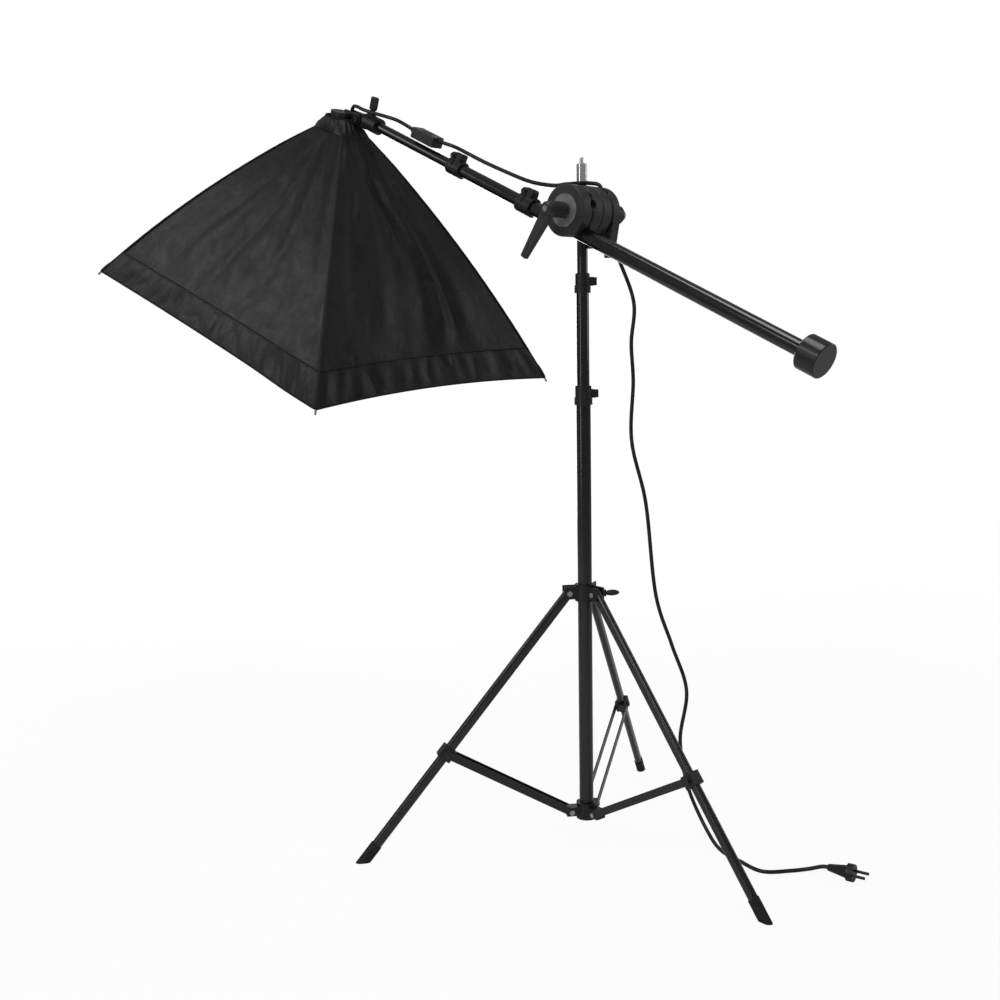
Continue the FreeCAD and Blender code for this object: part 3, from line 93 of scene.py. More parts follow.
class Graph:
    """A short way to write a node material: each call adds one node and returns its output."""

    def __init__(self, name):
        self.material = bpy.data.materials.new(name)
        self.material.use_nodes = True
        self.nodes = self.material.node_tree.nodes
        self.links = self.material.node_tree.links
        self.shader = self.nodes["Principled BSDF"]

    def feed(self, socket, value):
        """Link a socket to an output, or set its plain value."""
        if isinstance(value, bpy.types.NodeSocket):
            self.links.new(value, socket)
        else:
            socket.default_value = value

    def add(self, kind, output=0, settings=None, **inputs):
        """A node of this kind, with its settings and inputs, as one of its outputs."""
        node = self.nodes.new(kind)
        for key, value in (settings or {}).items():
            setattr(node, key, value)
        for key, value in inputs.items():
            self.feed(node.inputs[key.replace("_", " ")], value)
        return node.outputs[output]

    def set(self, **inputs):
        """Set inputs of the surface shader."""
        for key, value in inputs.items():
            self.feed(self.shader.inputs[key.replace("_", " ")], value)

    def place(self, coordinate="Object"):
        return self.add("ShaderNodeTexCoord", coordinate)

    def noise(self, scale, detail=3.0, vector=None, distortion=0.0):
        vector = vector or self.place()
        return self.add(
            "ShaderNodeTexNoise", "Fac", Vector=vector, Scale=scale, Detail=detail, Distortion=distortion
        )

    def lathe_rings(self, vector, scale):
        """Fine rings about the origin of this vector."""
        settings = {"wave_type": "RINGS", "rings_direction": "SPHERICAL"}
        return self.add("ShaderNodeTexWave", "Fac", settings, Vector=vector, Scale=scale)

    def facing(self, direction):
        """How far the surface faces this way, from -1 to 1."""
        product = self.add("ShaderNodeVectorMath", "Value", {"operation": "DOT_PRODUCT"})
        self.links.new(self.place("Normal"), product.node.inputs[0])
        product.node.inputs[1].default_value = direction
        return product

    def math(self, operation, first, second=0.0):
        node = self.nodes.new("ShaderNodeMath")
        node.operation = operation
        self.feed(node.inputs[0], first)
        self.feed(node.inputs[1], second)
        return node.outputs[0]

    def ramp(self, value, low, high, out_low=0.0, out_high=1.0):
        """The value moved from one range to another and kept inside it."""
        return self.add(
            "ShaderNodeMapRange",
            settings={"clamp": True},
            Value=value,
            From_Min=low,
            From_Max=high,
            To_Min=out_low,
            To_Max=out_high,
        )

    def blend(self, factor, first, second):
        """One colour turning into another."""
        node = self.nodes.new("ShaderNodeMix")
        node.data_type = "RGBA"
        self.feed(node.inputs[0], factor)
        self.feed(node.inputs[6], first)
        self.feed(node.inputs[7], second)
        return node.outputs[2]

    def bump(self, height, distance, strength=1.0, normal=None):
        inputs = {"Height": height, "Distance": distance, "Strength": strength}
        if normal is not None:
            inputs["Normal"] = normal
        return self.add("ShaderNodeBump", **inputs)

    def soft_edges(self, radius):
        """A normal that rounds sharp edges off by this radius."""
        return self.add("ShaderNodeBevel", settings={"samples": 4}, Radius=radius)

    def edge_wear_and_highlight(self, radius):
        """1 near convex edges, broken up by noise: the mask for real edge wear and for painted edge highlights."""
        bevelled = self.soft_edges(radius)
        geometry = self.nodes.new("ShaderNodeNewGeometry").outputs["Normal"]
        dot = self.nodes.new("ShaderNodeVectorMath")
        dot.operation = "DOT_PRODUCT"
        self.links.new(bevelled, dot.inputs[0])
        self.links.new(geometry, dot.inputs[1])
        edge = self.ramp(dot.outputs["Value"], 0.98, 0.8)
        return self.math("MULTIPLY", edge, self.ramp(self.noise(160, 4), 0.42, 0.6))


def grey(value, warm=0.0):
    """A grey of this brightness, a little warmer if asked."""
    return (value * (1 + warm), value, value * (1 - warm), 1)


def tube_paint():
    """Gloss black lacquer with faint rubbing marks under a clear, smooth coat."""
    g = Graph("gloss_black_tube")
    rubbed = g.ramp(g.noise(55, 5, distortion=1.5), 0.45, 0.75)
    g.set(
        Base_Color=g.blend(g.math("MULTIPLY", rubbed, 0.4), grey(0.004), grey(0.02)),
        Roughness=g.math("ADD", g.math("MULTIPLY", rubbed, 0.05), 0.17),
        Coat_Weight=0.5,
        Coat_Roughness=0.12,
    )
    return g.material


def moulded_plastic(name, tone, roughness, edge_highlight_tone, grain=1500):
    """Moulded plastic: fine spark-eroded grain, softened edges painted lighter as a painted highlight, slight
    dust.
    """
    g = Graph(name)
    dust = g.ramp(g.noise(28, 6, distortion=0.8), 0.5, 0.78, 0.0, 0.35)
    worn_and_highlit_edges = g.edge_wear_and_highlight(0.8 * MM)
    base = g.blend(dust, grey(tone), grey(tone * 1.5, 0.02))
    g.set(
        # Painted highlight: the convex edges are painted the lighter edge tone.
        Base_Color=g.blend(worn_and_highlit_edges, base, grey(edge_highlight_tone)),
        Roughness=g.ramp(g.noise(90, 4), 0.3, 0.7, roughness - 0.06, roughness + 0.08),
        Normal=g.bump(g.noise(grain, 2), 0.06 * MM, 0.5, g.soft_edges(0.7 * MM)),
    )
    return g.material


def cast_head():
    """Satin black paint over a casting: soft pitted surface with rounded, slightly rubbed edges."""
    g = Graph("cast_black")
    pits = g.noise(420, 5)
    worn_and_highlit_edges = g.edge_wear_and_highlight(1.2 * MM)
    patches = g.ramp(g.noise(22, 5, distortion=1.0), 0.35, 0.7)
    base = g.blend(patches, grey(0.022), grey(0.030, 0.01))
    g.set(
        Base_Color=g.blend(worn_and_highlit_edges, base, grey(0.07)),
        Roughness=g.ramp(g.noise(60, 4), 0.3, 0.7, 0.38, 0.52),
        Normal=g.bump(pits, 0.12 * MM, 0.45, g.soft_edges(1.1 * MM)),
    )
    return g.material


def foot_rubber():
    """Matt rubber with pale scuffs."""
    g = Graph("foot_rubber")
    scuff = g.ramp(g.noise(120, 5, distortion=2.0), 0.5, 0.75)
    g.set(
        Base_Color=g.blend(scuff, grey(0.010), grey(0.035, 0.04)),
        Roughness=0.78,
        Normal=g.bump(g.noise(700, 4), 0.15 * MM, 0.6, g.soft_edges(1.0 * MM)),
    )
    return g.material


def strip_paint():
    """Painted steel strip, rubbed through to the metal along its edges."""
    g = Graph("strip_black")
    worn_and_highlit_edges = g.edge_wear_and_highlight(0.5 * MM)
    g.set(
        Base_Color=g.blend(worn_and_highlit_edges, grey(0.008), grey(0.12)),
        Metallic=g.math("MULTIPLY", worn_and_highlit_edges, 0.8),
        Roughness=g.ramp(g.noise(75, 5), 0.3, 0.7, 0.22, 0.38),
        Coat_Weight=0.3,
        Normal=g.bump(g.noise(600, 3), 0.03 * MM, 0.5, g.soft_edges(0.4 * MM)),
    )
    return g.material


def plated_steel(name, tone, roughness, streak=0.0):
    """Bright metal with fine brushing marks and darker staining."""
    g = Graph(name)
    stretched = g.add("ShaderNodeMapping", Vector=g.place(), Scale=(900, 900, 60))
    brushed = g.noise(1.0, 3, vector=stretched)
    stain = g.ramp(g.noise(70, 5), 0.45, 0.75, 0.0, 0.4)
    g.set(
        Base_Color=g.blend(stain, grey(tone), grey(tone * 0.55, 0.03)),
        Metallic=1.0,
        Roughness=g.math("ADD", g.math("MULTIPLY", brushed, streak), roughness),
        Normal=g.bump(brushed, 0.02 * MM, 0.4, g.soft_edges(0.4 * MM)),
    )
    return g.material


def washer_alloy():
    """Bead-blasted alloy with faint turning rings about the head's axis."""
    g = Graph("washer_alloy")
    centre = joints["boom_tilt"]["pos_m"]
    moved = g.add("ShaderNodeMapping", Vector=g.place(), Location=(-centre[0], -centre[1], -centre[2]))
    flat = g.add("ShaderNodeMapping", Vector=moved, Scale=(1, 0, 1))
    rings = g.lathe_rings(flat, 420)
    g.set(
        Base_Color=g.blend(g.ramp(g.noise(90, 5), 0.4, 0.7), grey(0.30), grey(0.22)),
        Metallic=0.75,
        Roughness=0.5,
        Normal=g.bump(g.math("ADD", rings, g.noise(2400, 2)), 0.02 * MM, 0.5, g.soft_edges(0.4 * MM)),
    )
    return g.material


def weight_finish():
    """Satin black steel whose turned end face is lighter, with rings from the lathe."""
    g = Graph("weight_finish")
    end_face = g.ramp(g.facing(-Vector(joints["boom_slide"]["axis"])), 0.8, 0.95)
    low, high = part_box("counterweight")
    middle = (low + high) / 2
    moved = g.add("ShaderNodeMapping", Vector=g.place(), Location=-middle)
    rings = g.lathe_rings(moved, 300)
    mottled = g.ramp(g.noise(150, 5), 0.35, 0.7)
    g.set(
        Base_Color=g.blend(end_face, g.blend(mottled, grey(0.006), grey(0.011)), grey(0.045)),
        Roughness=g.blend(end_face, grey(0.32), grey(0.42)),
        Coat_Weight=0.2,
        Normal=g.bump(g.math("MULTIPLY", rings, end_face), 0.03 * MM, 0.4, g.soft_edges(1.0 * MM)),
    )
    return g.material


def threads(g, across):
    """A plain weave from the panel's own UV, in metres: two crossed waves with this thread spacing."""
    scale = 0.314 / across
    uv = g.place("UV")
    warp = g.add("ShaderNodeTexWave", "Fac", {"bands_direction": "X"}, Vector=uv, Scale=scale)
    weft = g.add("ShaderNodeTexWave", "Fac", {"bands_direction": "Y"}, Vector=uv, Scale=scale)
    return g.math("MULTIPLY", warp, weft)


def black_nylon():
    """Black coated nylon: fine weave, small crumples whose raised parts are painted a little lighter as a painted
    highlight, broad soft changes in tone and a low sheen.
    """
    g = Graph("black_nylon")
    weave = threads(g, 0.9 * MM)
    crumple = g.noise(36, 5, distortion=0.9)
    tone = g.ramp(g.noise(7, 4, distortion=1.2), 0.3, 0.7)
    fine = g.ramp(crumple, 0.35, 0.7)
    base = g.blend(tone, grey(0.009), grey(0.014, 0.01))
    height = g.math("ADD", g.math("MULTIPLY", crumple, 8.0), g.math("MULTIPLY", weave, 0.25))
    g.set(
        # Painted highlight: the raised crumples are painted a lighter black.
        Base_Color=g.blend(g.math("MULTIPLY", fine, 0.35), base, grey(0.017)),
        Roughness=g.ramp(crumple, 0.3, 0.7, 0.30, 0.46),
        Specular_IOR_Level=0.3,
        Sheen_Weight=0.03,
        Sheen_Roughness=0.4,
        Normal=g.bump(height, 0.35 * MM, 0.35),
    )
    return g.material


def seam_tape():
    """Denser folded nylon for piping, hems and the elastic."""
    g = Graph("seam_tape")
    diagonal = {"bands_direction": "DIAGONAL"}
    ridges = g.add("ShaderNodeTexWave", "Fac", diagonal, Vector=g.place(), Scale=260, Distortion=1.5)
    g.set(
        Base_Color=g.blend(g.ramp(g.noise(60, 4), 0.4, 0.7), grey(0.006), grey(0.012)),
        Roughness=0.6,
        Specular_IOR_Level=0.3,
        Sheen_Weight=0.02,
        Normal=g.bump(ridges, 0.12 * MM, 0.5),
    )
    return g.material


def stitch_thread():
    """Twisted black sewing thread."""
    g = Graph("stitch_thread")
    g.set(
        Base_Color=g.blend(g.noise(900, 2), grey(0.01), grey(0.03)),
        Roughness=0.5,
        Normal=g.bump(g.noise(3000, 2), 0.05 * MM, 0.5),
    )
    return g.material


def silver_cloth():
    """Silver coated lining with a crinkled, slightly glittering surface."""
    g = Graph("silver_cloth")
    smooth_cells = {"feature": "SMOOTH_F1"}
    crinkle = g.add("ShaderNodeTexVoronoi", "Distance", smooth_cells, Vector=g.place(), Scale=140)
    g.set(
        Base_Color=g.blend(g.noise(30, 4), grey(0.62), grey(0.8)),
        Metallic=0.85,
        Roughness=0.36,
        Normal=g.bump(g.math("ADD", crinkle, g.noise(50, 5, distortion=1.0)), 0.7 * MM, 0.6),
    )
    return g.material


def white_cloth():
    """White diffusion cloth, a soft weave that lets some light through."""
    g = Graph("white_cloth")
    weave = threads(g, 0.7 * MM)
    g.set(
        Base_Color=g.blend(g.ramp(g.noise(9, 4), 0.35, 0.7), grey(0.80, 0.01), grey(0.87, 0.01)),
        Roughness=0.85,
        Sheen_Weight=0.3,
        Subsurface_Weight=0.25,
        Subsurface_Radius=(3 * MM, 3 * MM, 3 * MM),
        Normal=g.bump(g.math("ADD", weave, g.noise(26, 4)), 0.25 * MM, 0.4),
    )
    return g.material


def glazed_ceramic():
    """Cream white ceramic under a smooth glaze."""
    g = Graph("glazed_ceramic")
    g.set(
        Base_Color=g.blend(g.noise(80, 4), grey(0.78, 0.03), grey(0.86, 0.03)),
        Roughness=0.18,
        Coat_Weight=0.5,
        Normal=g.bump(g.noise(300, 2), 0.03 * MM, 0.4, g.soft_edges(0.5 * MM)),
    )
    return g.material


def opal_glass():
    """Phosphor-coated lamp tubes and the white base moulding."""
    g = Graph("opal_glass")
    g.set(
        Base_Color=g.blend(g.noise(40, 3), grey(0.88, 0.01), grey(0.94, 0.01)),
        Roughness=g.ramp(g.noise(120, 3), 0.3, 0.7, 0.12, 0.24),
        Subsurface_Weight=0.2,
        Subsurface_Radius=(2 * MM, 2 * MM, 2 * MM),
        Normal=g.soft_edges(0.8 * MM),
    )
    return g.material


def switch_plastic():
    """Dark, finely grained switch plastic; faces turned up across the boom are painted light grey, a painted
    reflection of the bright room.
    """
    g = Graph("switch_plastic")
    # Painted reflection: faces turned up across the boom get the light grey below instead of the dark plastic.
    painted_top_reflection = g.ramp(g.facing(BOOM.to_3x3() @ Vector((0, 0, 1))), 0.55, 0.7)
    speckle = g.ramp(g.noise(500, 3), 0.35, 0.65)
    light = g.blend(speckle, grey(0.05), grey(0.07))
    g.set(
        Base_Color=g.blend(painted_top_reflection, grey(0.012), light),
        Roughness=0.42,
        Normal=g.bump(g.noise(1400, 2), 0.05 * MM, 0.5, g.soft_edges(0.8 * MM)),
    )
    return g.material


def cable_jacket():
    """Black PVC jacket: smooth, slightly shiny, with a little dust."""
    g = Graph("cable_jacket")
    dust = g.ramp(g.noise(85, 5), 0.45, 0.75)
    g.set(
        Base_Color=g.blend(dust, grey(0.008), grey(0.018)),
        Roughness=g.ramp(dust, 0, 1, 0.3, 0.45),
        Normal=g.bump(g.noise(260, 4), 0.08 * MM, 0.5),
    )
    return g.material


black_plastic = moulded_plastic("black_plastic", 0.010, 0.42, 0.045)
MATERIALS = {
    "black_tube": tube_paint(),
    "black_plastic": black_plastic,
    "cast_black": cast_head(),
    "lever_plastic": moulded_plastic("lever_plastic", 0.030, 0.42, 0.08),
    "foot_rubber": foot_rubber(),
    "strip_steel": strip_paint(),
    "bolt_steel": plated_steel("bolt_steel", 0.5, 0.28, 0.2),
    "spigot_chrome": plated_steel("spigot_chrome", 0.82, 0.07, 0.05),
    "washer_alloy": washer_alloy(),
    "weight_steel": weight_finish(),
    "black_nylon": black_nylon(),
    "silver_cloth": silver_cloth(),
    "white_cloth": white_cloth(),
    "rib_steel": plated_steel("rib_steel", 0.42, 0.3, 0.2),
    "socket_ceramic": glazed_ceramic(),
    "bulb_glass": opal_glass(),
    "switch_plastic": switch_plastic(),
    "lead_pvc": cable_jacket(),
    "seam_tape": seam_tape(),
    "stitch_thread": stitch_thread(),
}


def finish_cad_nodes():
    """Give every CAD node the finish of its slot in place of the flat imported one."""
    for part in frame["record"]["subparts"]:
        target = frame["nodes"][part["node"]]
        target.data.materials.clear()
        target.data.materials.append(MATERIALS[part["material_slot"]])


# ---------------------------------------------------------------- mesh helpers

def make_piece(name, body, slot, points, faces, frame_matrix=None, uv=None, finish=None, smooth=True):
    """A mesh object from points in metres, given in a local frame, riding on a body."""
    mesh = bpy.data.meshes.new(name)
    matrix = frame_matrix or Matrix.Identity(4)
    mesh.from_pydata([matrix @ Vector(point) for point in points], [], faces)
    if uv is not None:
        layer = mesh.uv_layers.new(name="UVMap")
        for loop in mesh.loops:
            layer.data[loop.index].uv = uv[loop.vertex_index]
    mesh.polygons.foreach_set("use_smooth", [smooth] * len(mesh.polygons))
    mesh.materials.append(MATERIALS[finish or slot])
    mesh.validate()
    piece = bpy.data.objects.new(name, mesh)
    bpy.context.scene.collection.objects.link(piece)
    if body:
        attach(piece, body)
    return piece


def grid_faces(rows, columns, closed):
    """Quads of a grid of points stored row by row, optionally closed round each row."""
    faces = []
    last = columns if closed else columns - 1
    for row in range(rows - 1):
        below = row * columns
        above = below + columns
        for column in range(last):
            after = (column + 1) % columns
            faces.append((below + column, below + after, above + after, above + column))
    return faces


def thicken(piece, thickness, offset=-1.0):
    """Give a sheet its cloth thickness, inwards unless told otherwise."""
    modifier = piece.modifiers.new("thickness", "SOLIDIFY")
    modifier.thickness = thickness
    modifier.offset = offset
    return piece


def mix(first, second, low, high, t):
    """The point that is the first one when t is low and the second one when t is high."""
    return ((high - t) * first + (t - low) * second) / (high - low)


def smooth_path(points, spacing):
    """Points this far apart on a centripetal Catmull-Rom curve, and each given point's index among them."""
    given = [np.array(point, float) for point in points]
    given = [2 * given[0] - given[1]] + given + [2 * given[-1] - given[-2]]
    path = []
    marks = []
    for before, start, end, after in zip(given, given[1:], given[2:], given[3:]):
        marks.append(len(path))
        spans = (start - before, end - start, after - end)
        knots = np.cumsum([0] + [max(np.linalg.norm(span), 1e-9) ** 0.5 for span in spans])
        count = max(2, int(np.linalg.norm(end - start) / spacing))
        for t in np.linspace(knots[1], knots[2], count, endpoint=False):
            first = mix(before, start, knots[0], knots[1], t)
            second = mix(start, end, knots[1], knots[2], t)
            third = mix(end, after, knots[2], knots[3], t)
            early = mix(first, second, knots[0], knots[2], t)
            late = mix(second, third, knots[1], knots[3], t)
            path.append(mix(early, late, knots[1], knots[2], t))
    marks.append(len(path))
    path.append(given[-2])
    return np.array(path), marks


def rod_points(path, radius, sides):
    """Rings of points round a path, carried along without twist; radius may hold a value for each point."""
    radii = np.broadcast_to(radius, len(path))
    tangents = np.gradient(path, axis=0)
    tangents /= np.linalg.norm(tangents, axis=1)[:, None]
    normal = np.cross(tangents[0], (0.3, 0.2, 1.0))
    points = []
    for centre, tangent, size in zip(path, tangents, radii):
        normal = normal - tangent * (normal @ tangent)
        normal /= np.linalg.norm(normal)
        side = np.cross(tangent, normal)
        for i in range(sides):
            angle = 2 * math.pi * i / sides
            points.append(centre + size * (normal * math.cos(angle) + side * math.sin(angle)))
    return points


def rod(name, body, slot, path, radius, sides=12, frame_matrix=None, finish=None):
    """A round cord along a path, with closed ends."""
    points = rod_points(path, radius, sides)
    faces = grid_faces(len(path), sides, closed=True)
    faces.append(tuple(reversed(range(sides))))
    faces.append(tuple(range((len(path) - 1) * sides, len(path) * sides)))
    return make_piece(name, body, slot, points, faces, frame_matrix, finish=finish)


# ---------------------------------------------------------------- softbox fabric

HALF_LONG = 350 * MM
HALF_SHORT = 250 * MM
DEPTH = 346.5 * MM
NECK_SHARE = 0.114
SWELL = 0.0224
RISE = 10.6 * MM
BAND_STEP = 0.117
CAP_HEIGHT = 371 * MM
CAP_RADIUS = 26 * MM
CLOTH_THICKNESS = 0.7 * MM
COLUMNS = 72
PUCKER_WIDTH = 26 * MM
STITCH_PITCH = 5 * MM
STITCH_HALF_WIDTH = 0.35 * MM
STITCH_HALF_HEIGHT = 0.3 * MM


def height_at(step):
    """Height of a rib over the rim at this share of the way to the neck."""
    return DEPTH * step + RISE * 4 * step * (1 - step)


def share_at(step):
    """Half width there as a share of the rim's, slightly swollen by the bent ribs."""
    return 1 - (1 - NECK_SHARE) * step + SWELL * 4 * step * (1 - step)


CORNERS = ((1, -1), (1, 1), (-1, 1), (-1, -1))
PANEL_NAMES = ("near_short", "back_long", "far_short", "front_long")


def rim_length(panel):
    """Length of a panel's edge at the rim, in metres; odd panels are on the long sides."""
    return 2 * (HALF_LONG if panel % 2 else HALF_SHORT)


def share_between(value, low, span):
    """How far a value has gone through a span that begins at low, from 0 to 1."""
    return max(0.0, min(1.0, (value - low) / span))


def rim_pull(panel, u):
    """How far the tight rim's middle is drawn in and up from the straight line between two ribs."""
    arch = 4 * u * (1 - u)
    if panel % 2 == 0:
        return 12 * MM * arch, 6 * MM * arch
    return 3.5 * MM * arch, 1.0 * MM * arch - 2.0 * MM * math.exp(-((u - 0.88) / 0.1) ** 2)


# Folds of each panel, as (positions from rib to rib at the rim, half way and at the neck; width; depth in mm;
# lowest and highest step). A positive depth stands proud, a negative one is a crease.
FOLDS = {
    0: (
        ((0.42, 0.60, 0.40), 0.050, -7.0, 0.10, 0.90),
        ((0.52, 0.68, 0.52), 0.035, 6.5, 0.10, 0.88),
        ((0.68, 0.70, 0.74), 0.028, -5.0, 0.10, 0.97),
        ((0.76, 0.78, 0.82), 0.045, 4.5, 0.12, 0.95),
        ((0.26, 0.34, 0.22), 0.060, 4.0, 0.15, 0.85),
        ((0.10, 0.16, 0.12), 0.035, -2.5, 0.20, 0.92),
    ),
    1: (
        ((0.25, 0.30, 0.35), 0.04, -4.0, 0.2, 0.95),
        ((0.45, 0.46, 0.50), 0.05, 3.5, 0.1, 0.9),
        ((0.72, 0.68, 0.62), 0.04, -3.5, 0.15, 0.9),
        ((0.10, 0.15, 0.18), 0.03, 2.5, 0.1, 0.8),
    ),
    2: (
        ((0.30, 0.28, 0.20), 0.05, -4.5, 0.1, 0.95),
        ((0.55, 0.45, 0.40), 0.05, 3.5, 0.15, 0.9),
        ((0.75, 0.70, 0.60), 0.04, -3.0, 0.2, 0.9),
    ),
    3: (
        ((0.17, 0.26, 0.42), 0.022, -2.4, 0.10, 0.95),
        ((0.24, 0.33, 0.50), 0.040, 2.6, 0.08, 0.92),
        ((0.40, 0.48, 0.60), 0.026, -2.6, 0.05, 0.90),
        ((0.50, 0.56, 0.66), 0.045, 2.2, 0.05, 0.85),
        ((0.64, 0.68, 0.74), 0.024, -2.2, 0.05, 0.80),
        ((0.80, 0.82, 0.86), 0.050, 4.0, 0.72, 0.98),
        ((0.92, 0.92, 0.93), 0.020, -2.0, 0.30, 0.95),
    ),
}


def fold_height(panel, u, step):
    """Outward displacement of a panel at a place, in metres."""
    total = 0.0
    for (rim, half, neck), width, depth, low, high in FOLDS[panel]:
        line = rim + (4 * half - 3 * rim - neck) * step + 2 * (rim + neck - 2 * half) * step * step
        wander = 0.012 * math.sin(9 * step + 5 * rim)
        across = (u - line - wander) / (width * (1 + 0.6 * step))
        along = share_between(step, low, 0.18) * (1 - share_between(step, high - 0.15, 0.15))
        total += depth * math.exp(-across * across) * along
    seed = Vector((u * 2.4 + panel * 7.3, step * 2.0, 3.1))
    total += 6.0 * noise.noise(seed) + 2.4 * noise.noise(seed * 3.1) + 0.8 * noise.noise(seed * 9.0)
    slack = math.sin(math.pi * u) ** 0.6
    tight = -4.5 * 4 * u * (1 - u) * math.sin(math.pi * min(1.0, step * 1.05))
    near_neck = 1 - max(0.0, (step - 0.93) / 0.07)
    near_seam = share_between(step, 0.6 * BAND_STEP, 0.08)
    return (total * slack + tight) * MM * near_neck * near_seam


def panel_point(panel, u, step, inset=0.0, folded=True):
    """A point of the fabric: u from one rib to the next, step from the rim to the neck."""
    here = Vector(CORNERS[panel])
    there = Vector(CORNERS[(panel + 1) % 4])
    flat = here.lerp(there, u)
    share = share_at(step)
    point = Vector((flat.x * HALF_LONG * share, flat.y * HALF_SHORT * share, height_at(step)))
    middle = (here + there) / 2
    slope = HALF_LONG if abs(middle.x) > abs(middle.y) else HALF_SHORT
    outward = Vector((middle.x * DEPTH, middle.y * DEPTH, slope * (1 - NECK_SHARE))).normalized()
    pull_in, pull_up = rim_pull(panel, u)
    fade = math.exp(-((step / 0.16) ** 2))
    point.x -= middle.x * pull_in * fade
    point.y -= middle.y * pull_in * fade
    point.z += pull_up * fade
    if folded:
        point += outward * fold_height(panel, u, step)
    return point - outward * inset


def ring_of(step, inset=0.0, folded=True, columns=COLUMNS):
    """One closed row of points round the softbox, starting at a rib."""
    return [
        panel_point(panel, i / columns, step, inset, folded)
        for panel in range(4)
        for i in range(columns)
    ]


def fabric_uv(rows, columns, steps):
    """UV in metres on the cloth: round the rim and up the panel."""
    length = 4 * (HALF_LONG + HALF_SHORT)
    slant = 1.4 * DEPTH
    return [
        (length * column / columns, slant * steps[row])
        for row in range(rows)
        for column in range(columns)
    ]


def softbox_skin():
    """The four black panels from the band's seam to the neck's opening."""
    steps = list(np.linspace(BAND_STEP - 0.004, 1.0, 84))
    points = []
    for step in steps:
        points += ring_of(step)
    count = 4 * COLUMNS
    faces = grid_faces(len(steps), count, closed=True)
    uv = fabric_uv(len(steps), count, steps)
    skin = make_piece("softbox_skin", "lamp", "black_nylon", points, faces, SOFTBOX, uv)
    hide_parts("softbox_shell")
    thicken(skin, CLOTH_THICKNESS)


def cap_point(start, rise):
    """A point of the gathered top, this share of the way from the panels' top edge to the elastic."""
    angle = math.atan2(start.y, start.x - LAMP_X)
    pleat_depth = 0.9 * MM * math.sin(math.pi * min(1, rise * 1.1))
    pleat = math.sin(22 * angle + 2 * math.sin(3 * angle)) * pleat_depth
    reach = math.hypot(start.x - LAMP_X, start.y)
    radius = reach + (CAP_RADIUS - reach) * rise + pleat + 2.0 * MM * math.sin(math.pi * rise)
    height = start.z + (CAP_HEIGHT - start.z) * rise ** 1.1
    return Vector((LAMP_X + radius * math.cos(angle), radius * math.sin(angle), height))


def neck_cap():
    """The gathered top of the fabric, on from the panels' slope and drawn in by an elastic."""
    count = 4 * COLUMNS
    rows = 26
    base = ring_of(1.0)
    rises = np.linspace(0.0, 1.0, rows)
    points = [cap_point(start, rise) for rise in rises for start in base]
    faces = grid_faces(rows, count, closed=True)
    uv = fabric_uv(rows, count, 1.0 + 0.15 * rises)
    cap = make_piece("softbox_neck_cap", "lamp", "black_nylon", points, faces, SOFTBOX, uv)
    thicken(cap, CLOTH_THICKNESS)
    ring = []
    for i in range(97):
        angle = 2 * math.pi * i / 96
        radius = CAP_RADIUS + 0.4 * MM
        ring.append((LAMP_X + radius * math.cos(angle), radius * math.sin(angle), CAP_HEIGHT - 0.8 * MM))
    wave = 1.5 * MM + 0.25 * MM * np.sin(np.arange(97) * 2.1)
    rod("neck_elastic", "lamp", "black_nylon", np.array(ring), wave, 10, SOFTBOX, "seam_tape")


def rib_piping():
    """A narrow sewn cord over each rib, from the rim to the gathers of the neck, where it flattens out."""
    for panel in range(4):
        path = []
        widths = []
        for step in np.linspace(0.0, 1.0, 70):
            round_share = 1 - max(0.0, (step - 0.88) / 0.12)
            point = panel_point(panel, 0.0, step, folded=False)
            path.append(point + Vector((point.x, point.y, 0)).normalized() * 0.8 * MM * round_share)
            widths.append(0.7 + round_share)
        top = panel_point(panel, 0.0, 1.0, folded=False)
        for rise in np.linspace(0.1, 0.5, 6):
            path.append(cap_point(top, rise))
            widths.append(0.7)
        radii = (np.array(widths) + 0.1 * np.sin(np.arange(len(path)) * 1.7)) * MM
        name = "rib_piping_" + PANEL_NAMES[panel]
        rod(name, "lamp", "black_nylon", np.array(path), radii, 10, SOFTBOX, "seam_tape")


def band_pucker(panel, u, rise):
    """Puckers across the gathered rim band: irregular ridges, strongest in the middle of its height."""
    place = u * rim_length(panel) / PUCKER_WIDTH + panel * 3.7
    ridge = noise.noise(Vector((place, 0.4 * rise, panel * 5.0)))
    sharp = abs(noise.noise(Vector((place * 0.62 + 9.0, 0.7 * rise, 2.0)))) ** 0.7
    ends = min(1.0, u / 0.04, (1 - u) / 0.04)
    return (3.4 * ridge + 4.6 * (sharp - 0.3)) * MM * math.sin(math.pi * (0.12 + 0.8 * rise)) * ends


def edge_cord(name, step, radius, lift):
    """A sewn cord all round the softbox at this step."""
    path = ring_of(step, -lift, folded=False, columns=60)
    path.append(path[0])
    rod(name, "lamp", "black_nylon", np.array(path), radius, 8, SOFTBOX, "seam_tape")


def rim_band():
    """The sewn band round the open rim, puckered between its top seam and its hem."""
    rows = 22
    columns = 150
    points = []
    steps = []
    for row in range(rows):
        rise = row / (rows - 1)
        step = BAND_STEP * rise * 1.02
        steps.append(step)
        for panel in range(4):
            for i in range(columns):
                u = i / columns
                lift = 0.9 * MM + band_pucker(panel, u, rise)
                points.append(panel_point(panel, u, step, -lift - 0.4 * MM, folded=False))
    count = 4 * columns
    faces = grid_faces(rows, count, closed=True)
    uv = fabric_uv(rows, count, steps)
    band = make_piece("softbox_band", "lamp", "black_nylon", points, faces, SOFTBOX, uv)
    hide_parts("softbox_rim_band")
    thicken(band, 0.8 * MM)
    edge_cord("rim_hem", 0.0, 1.9 * MM, 0.8 * MM)
    edge_cord("band_seam", BAND_STEP * 1.01, 1.1 * MM, 1.6 * MM)


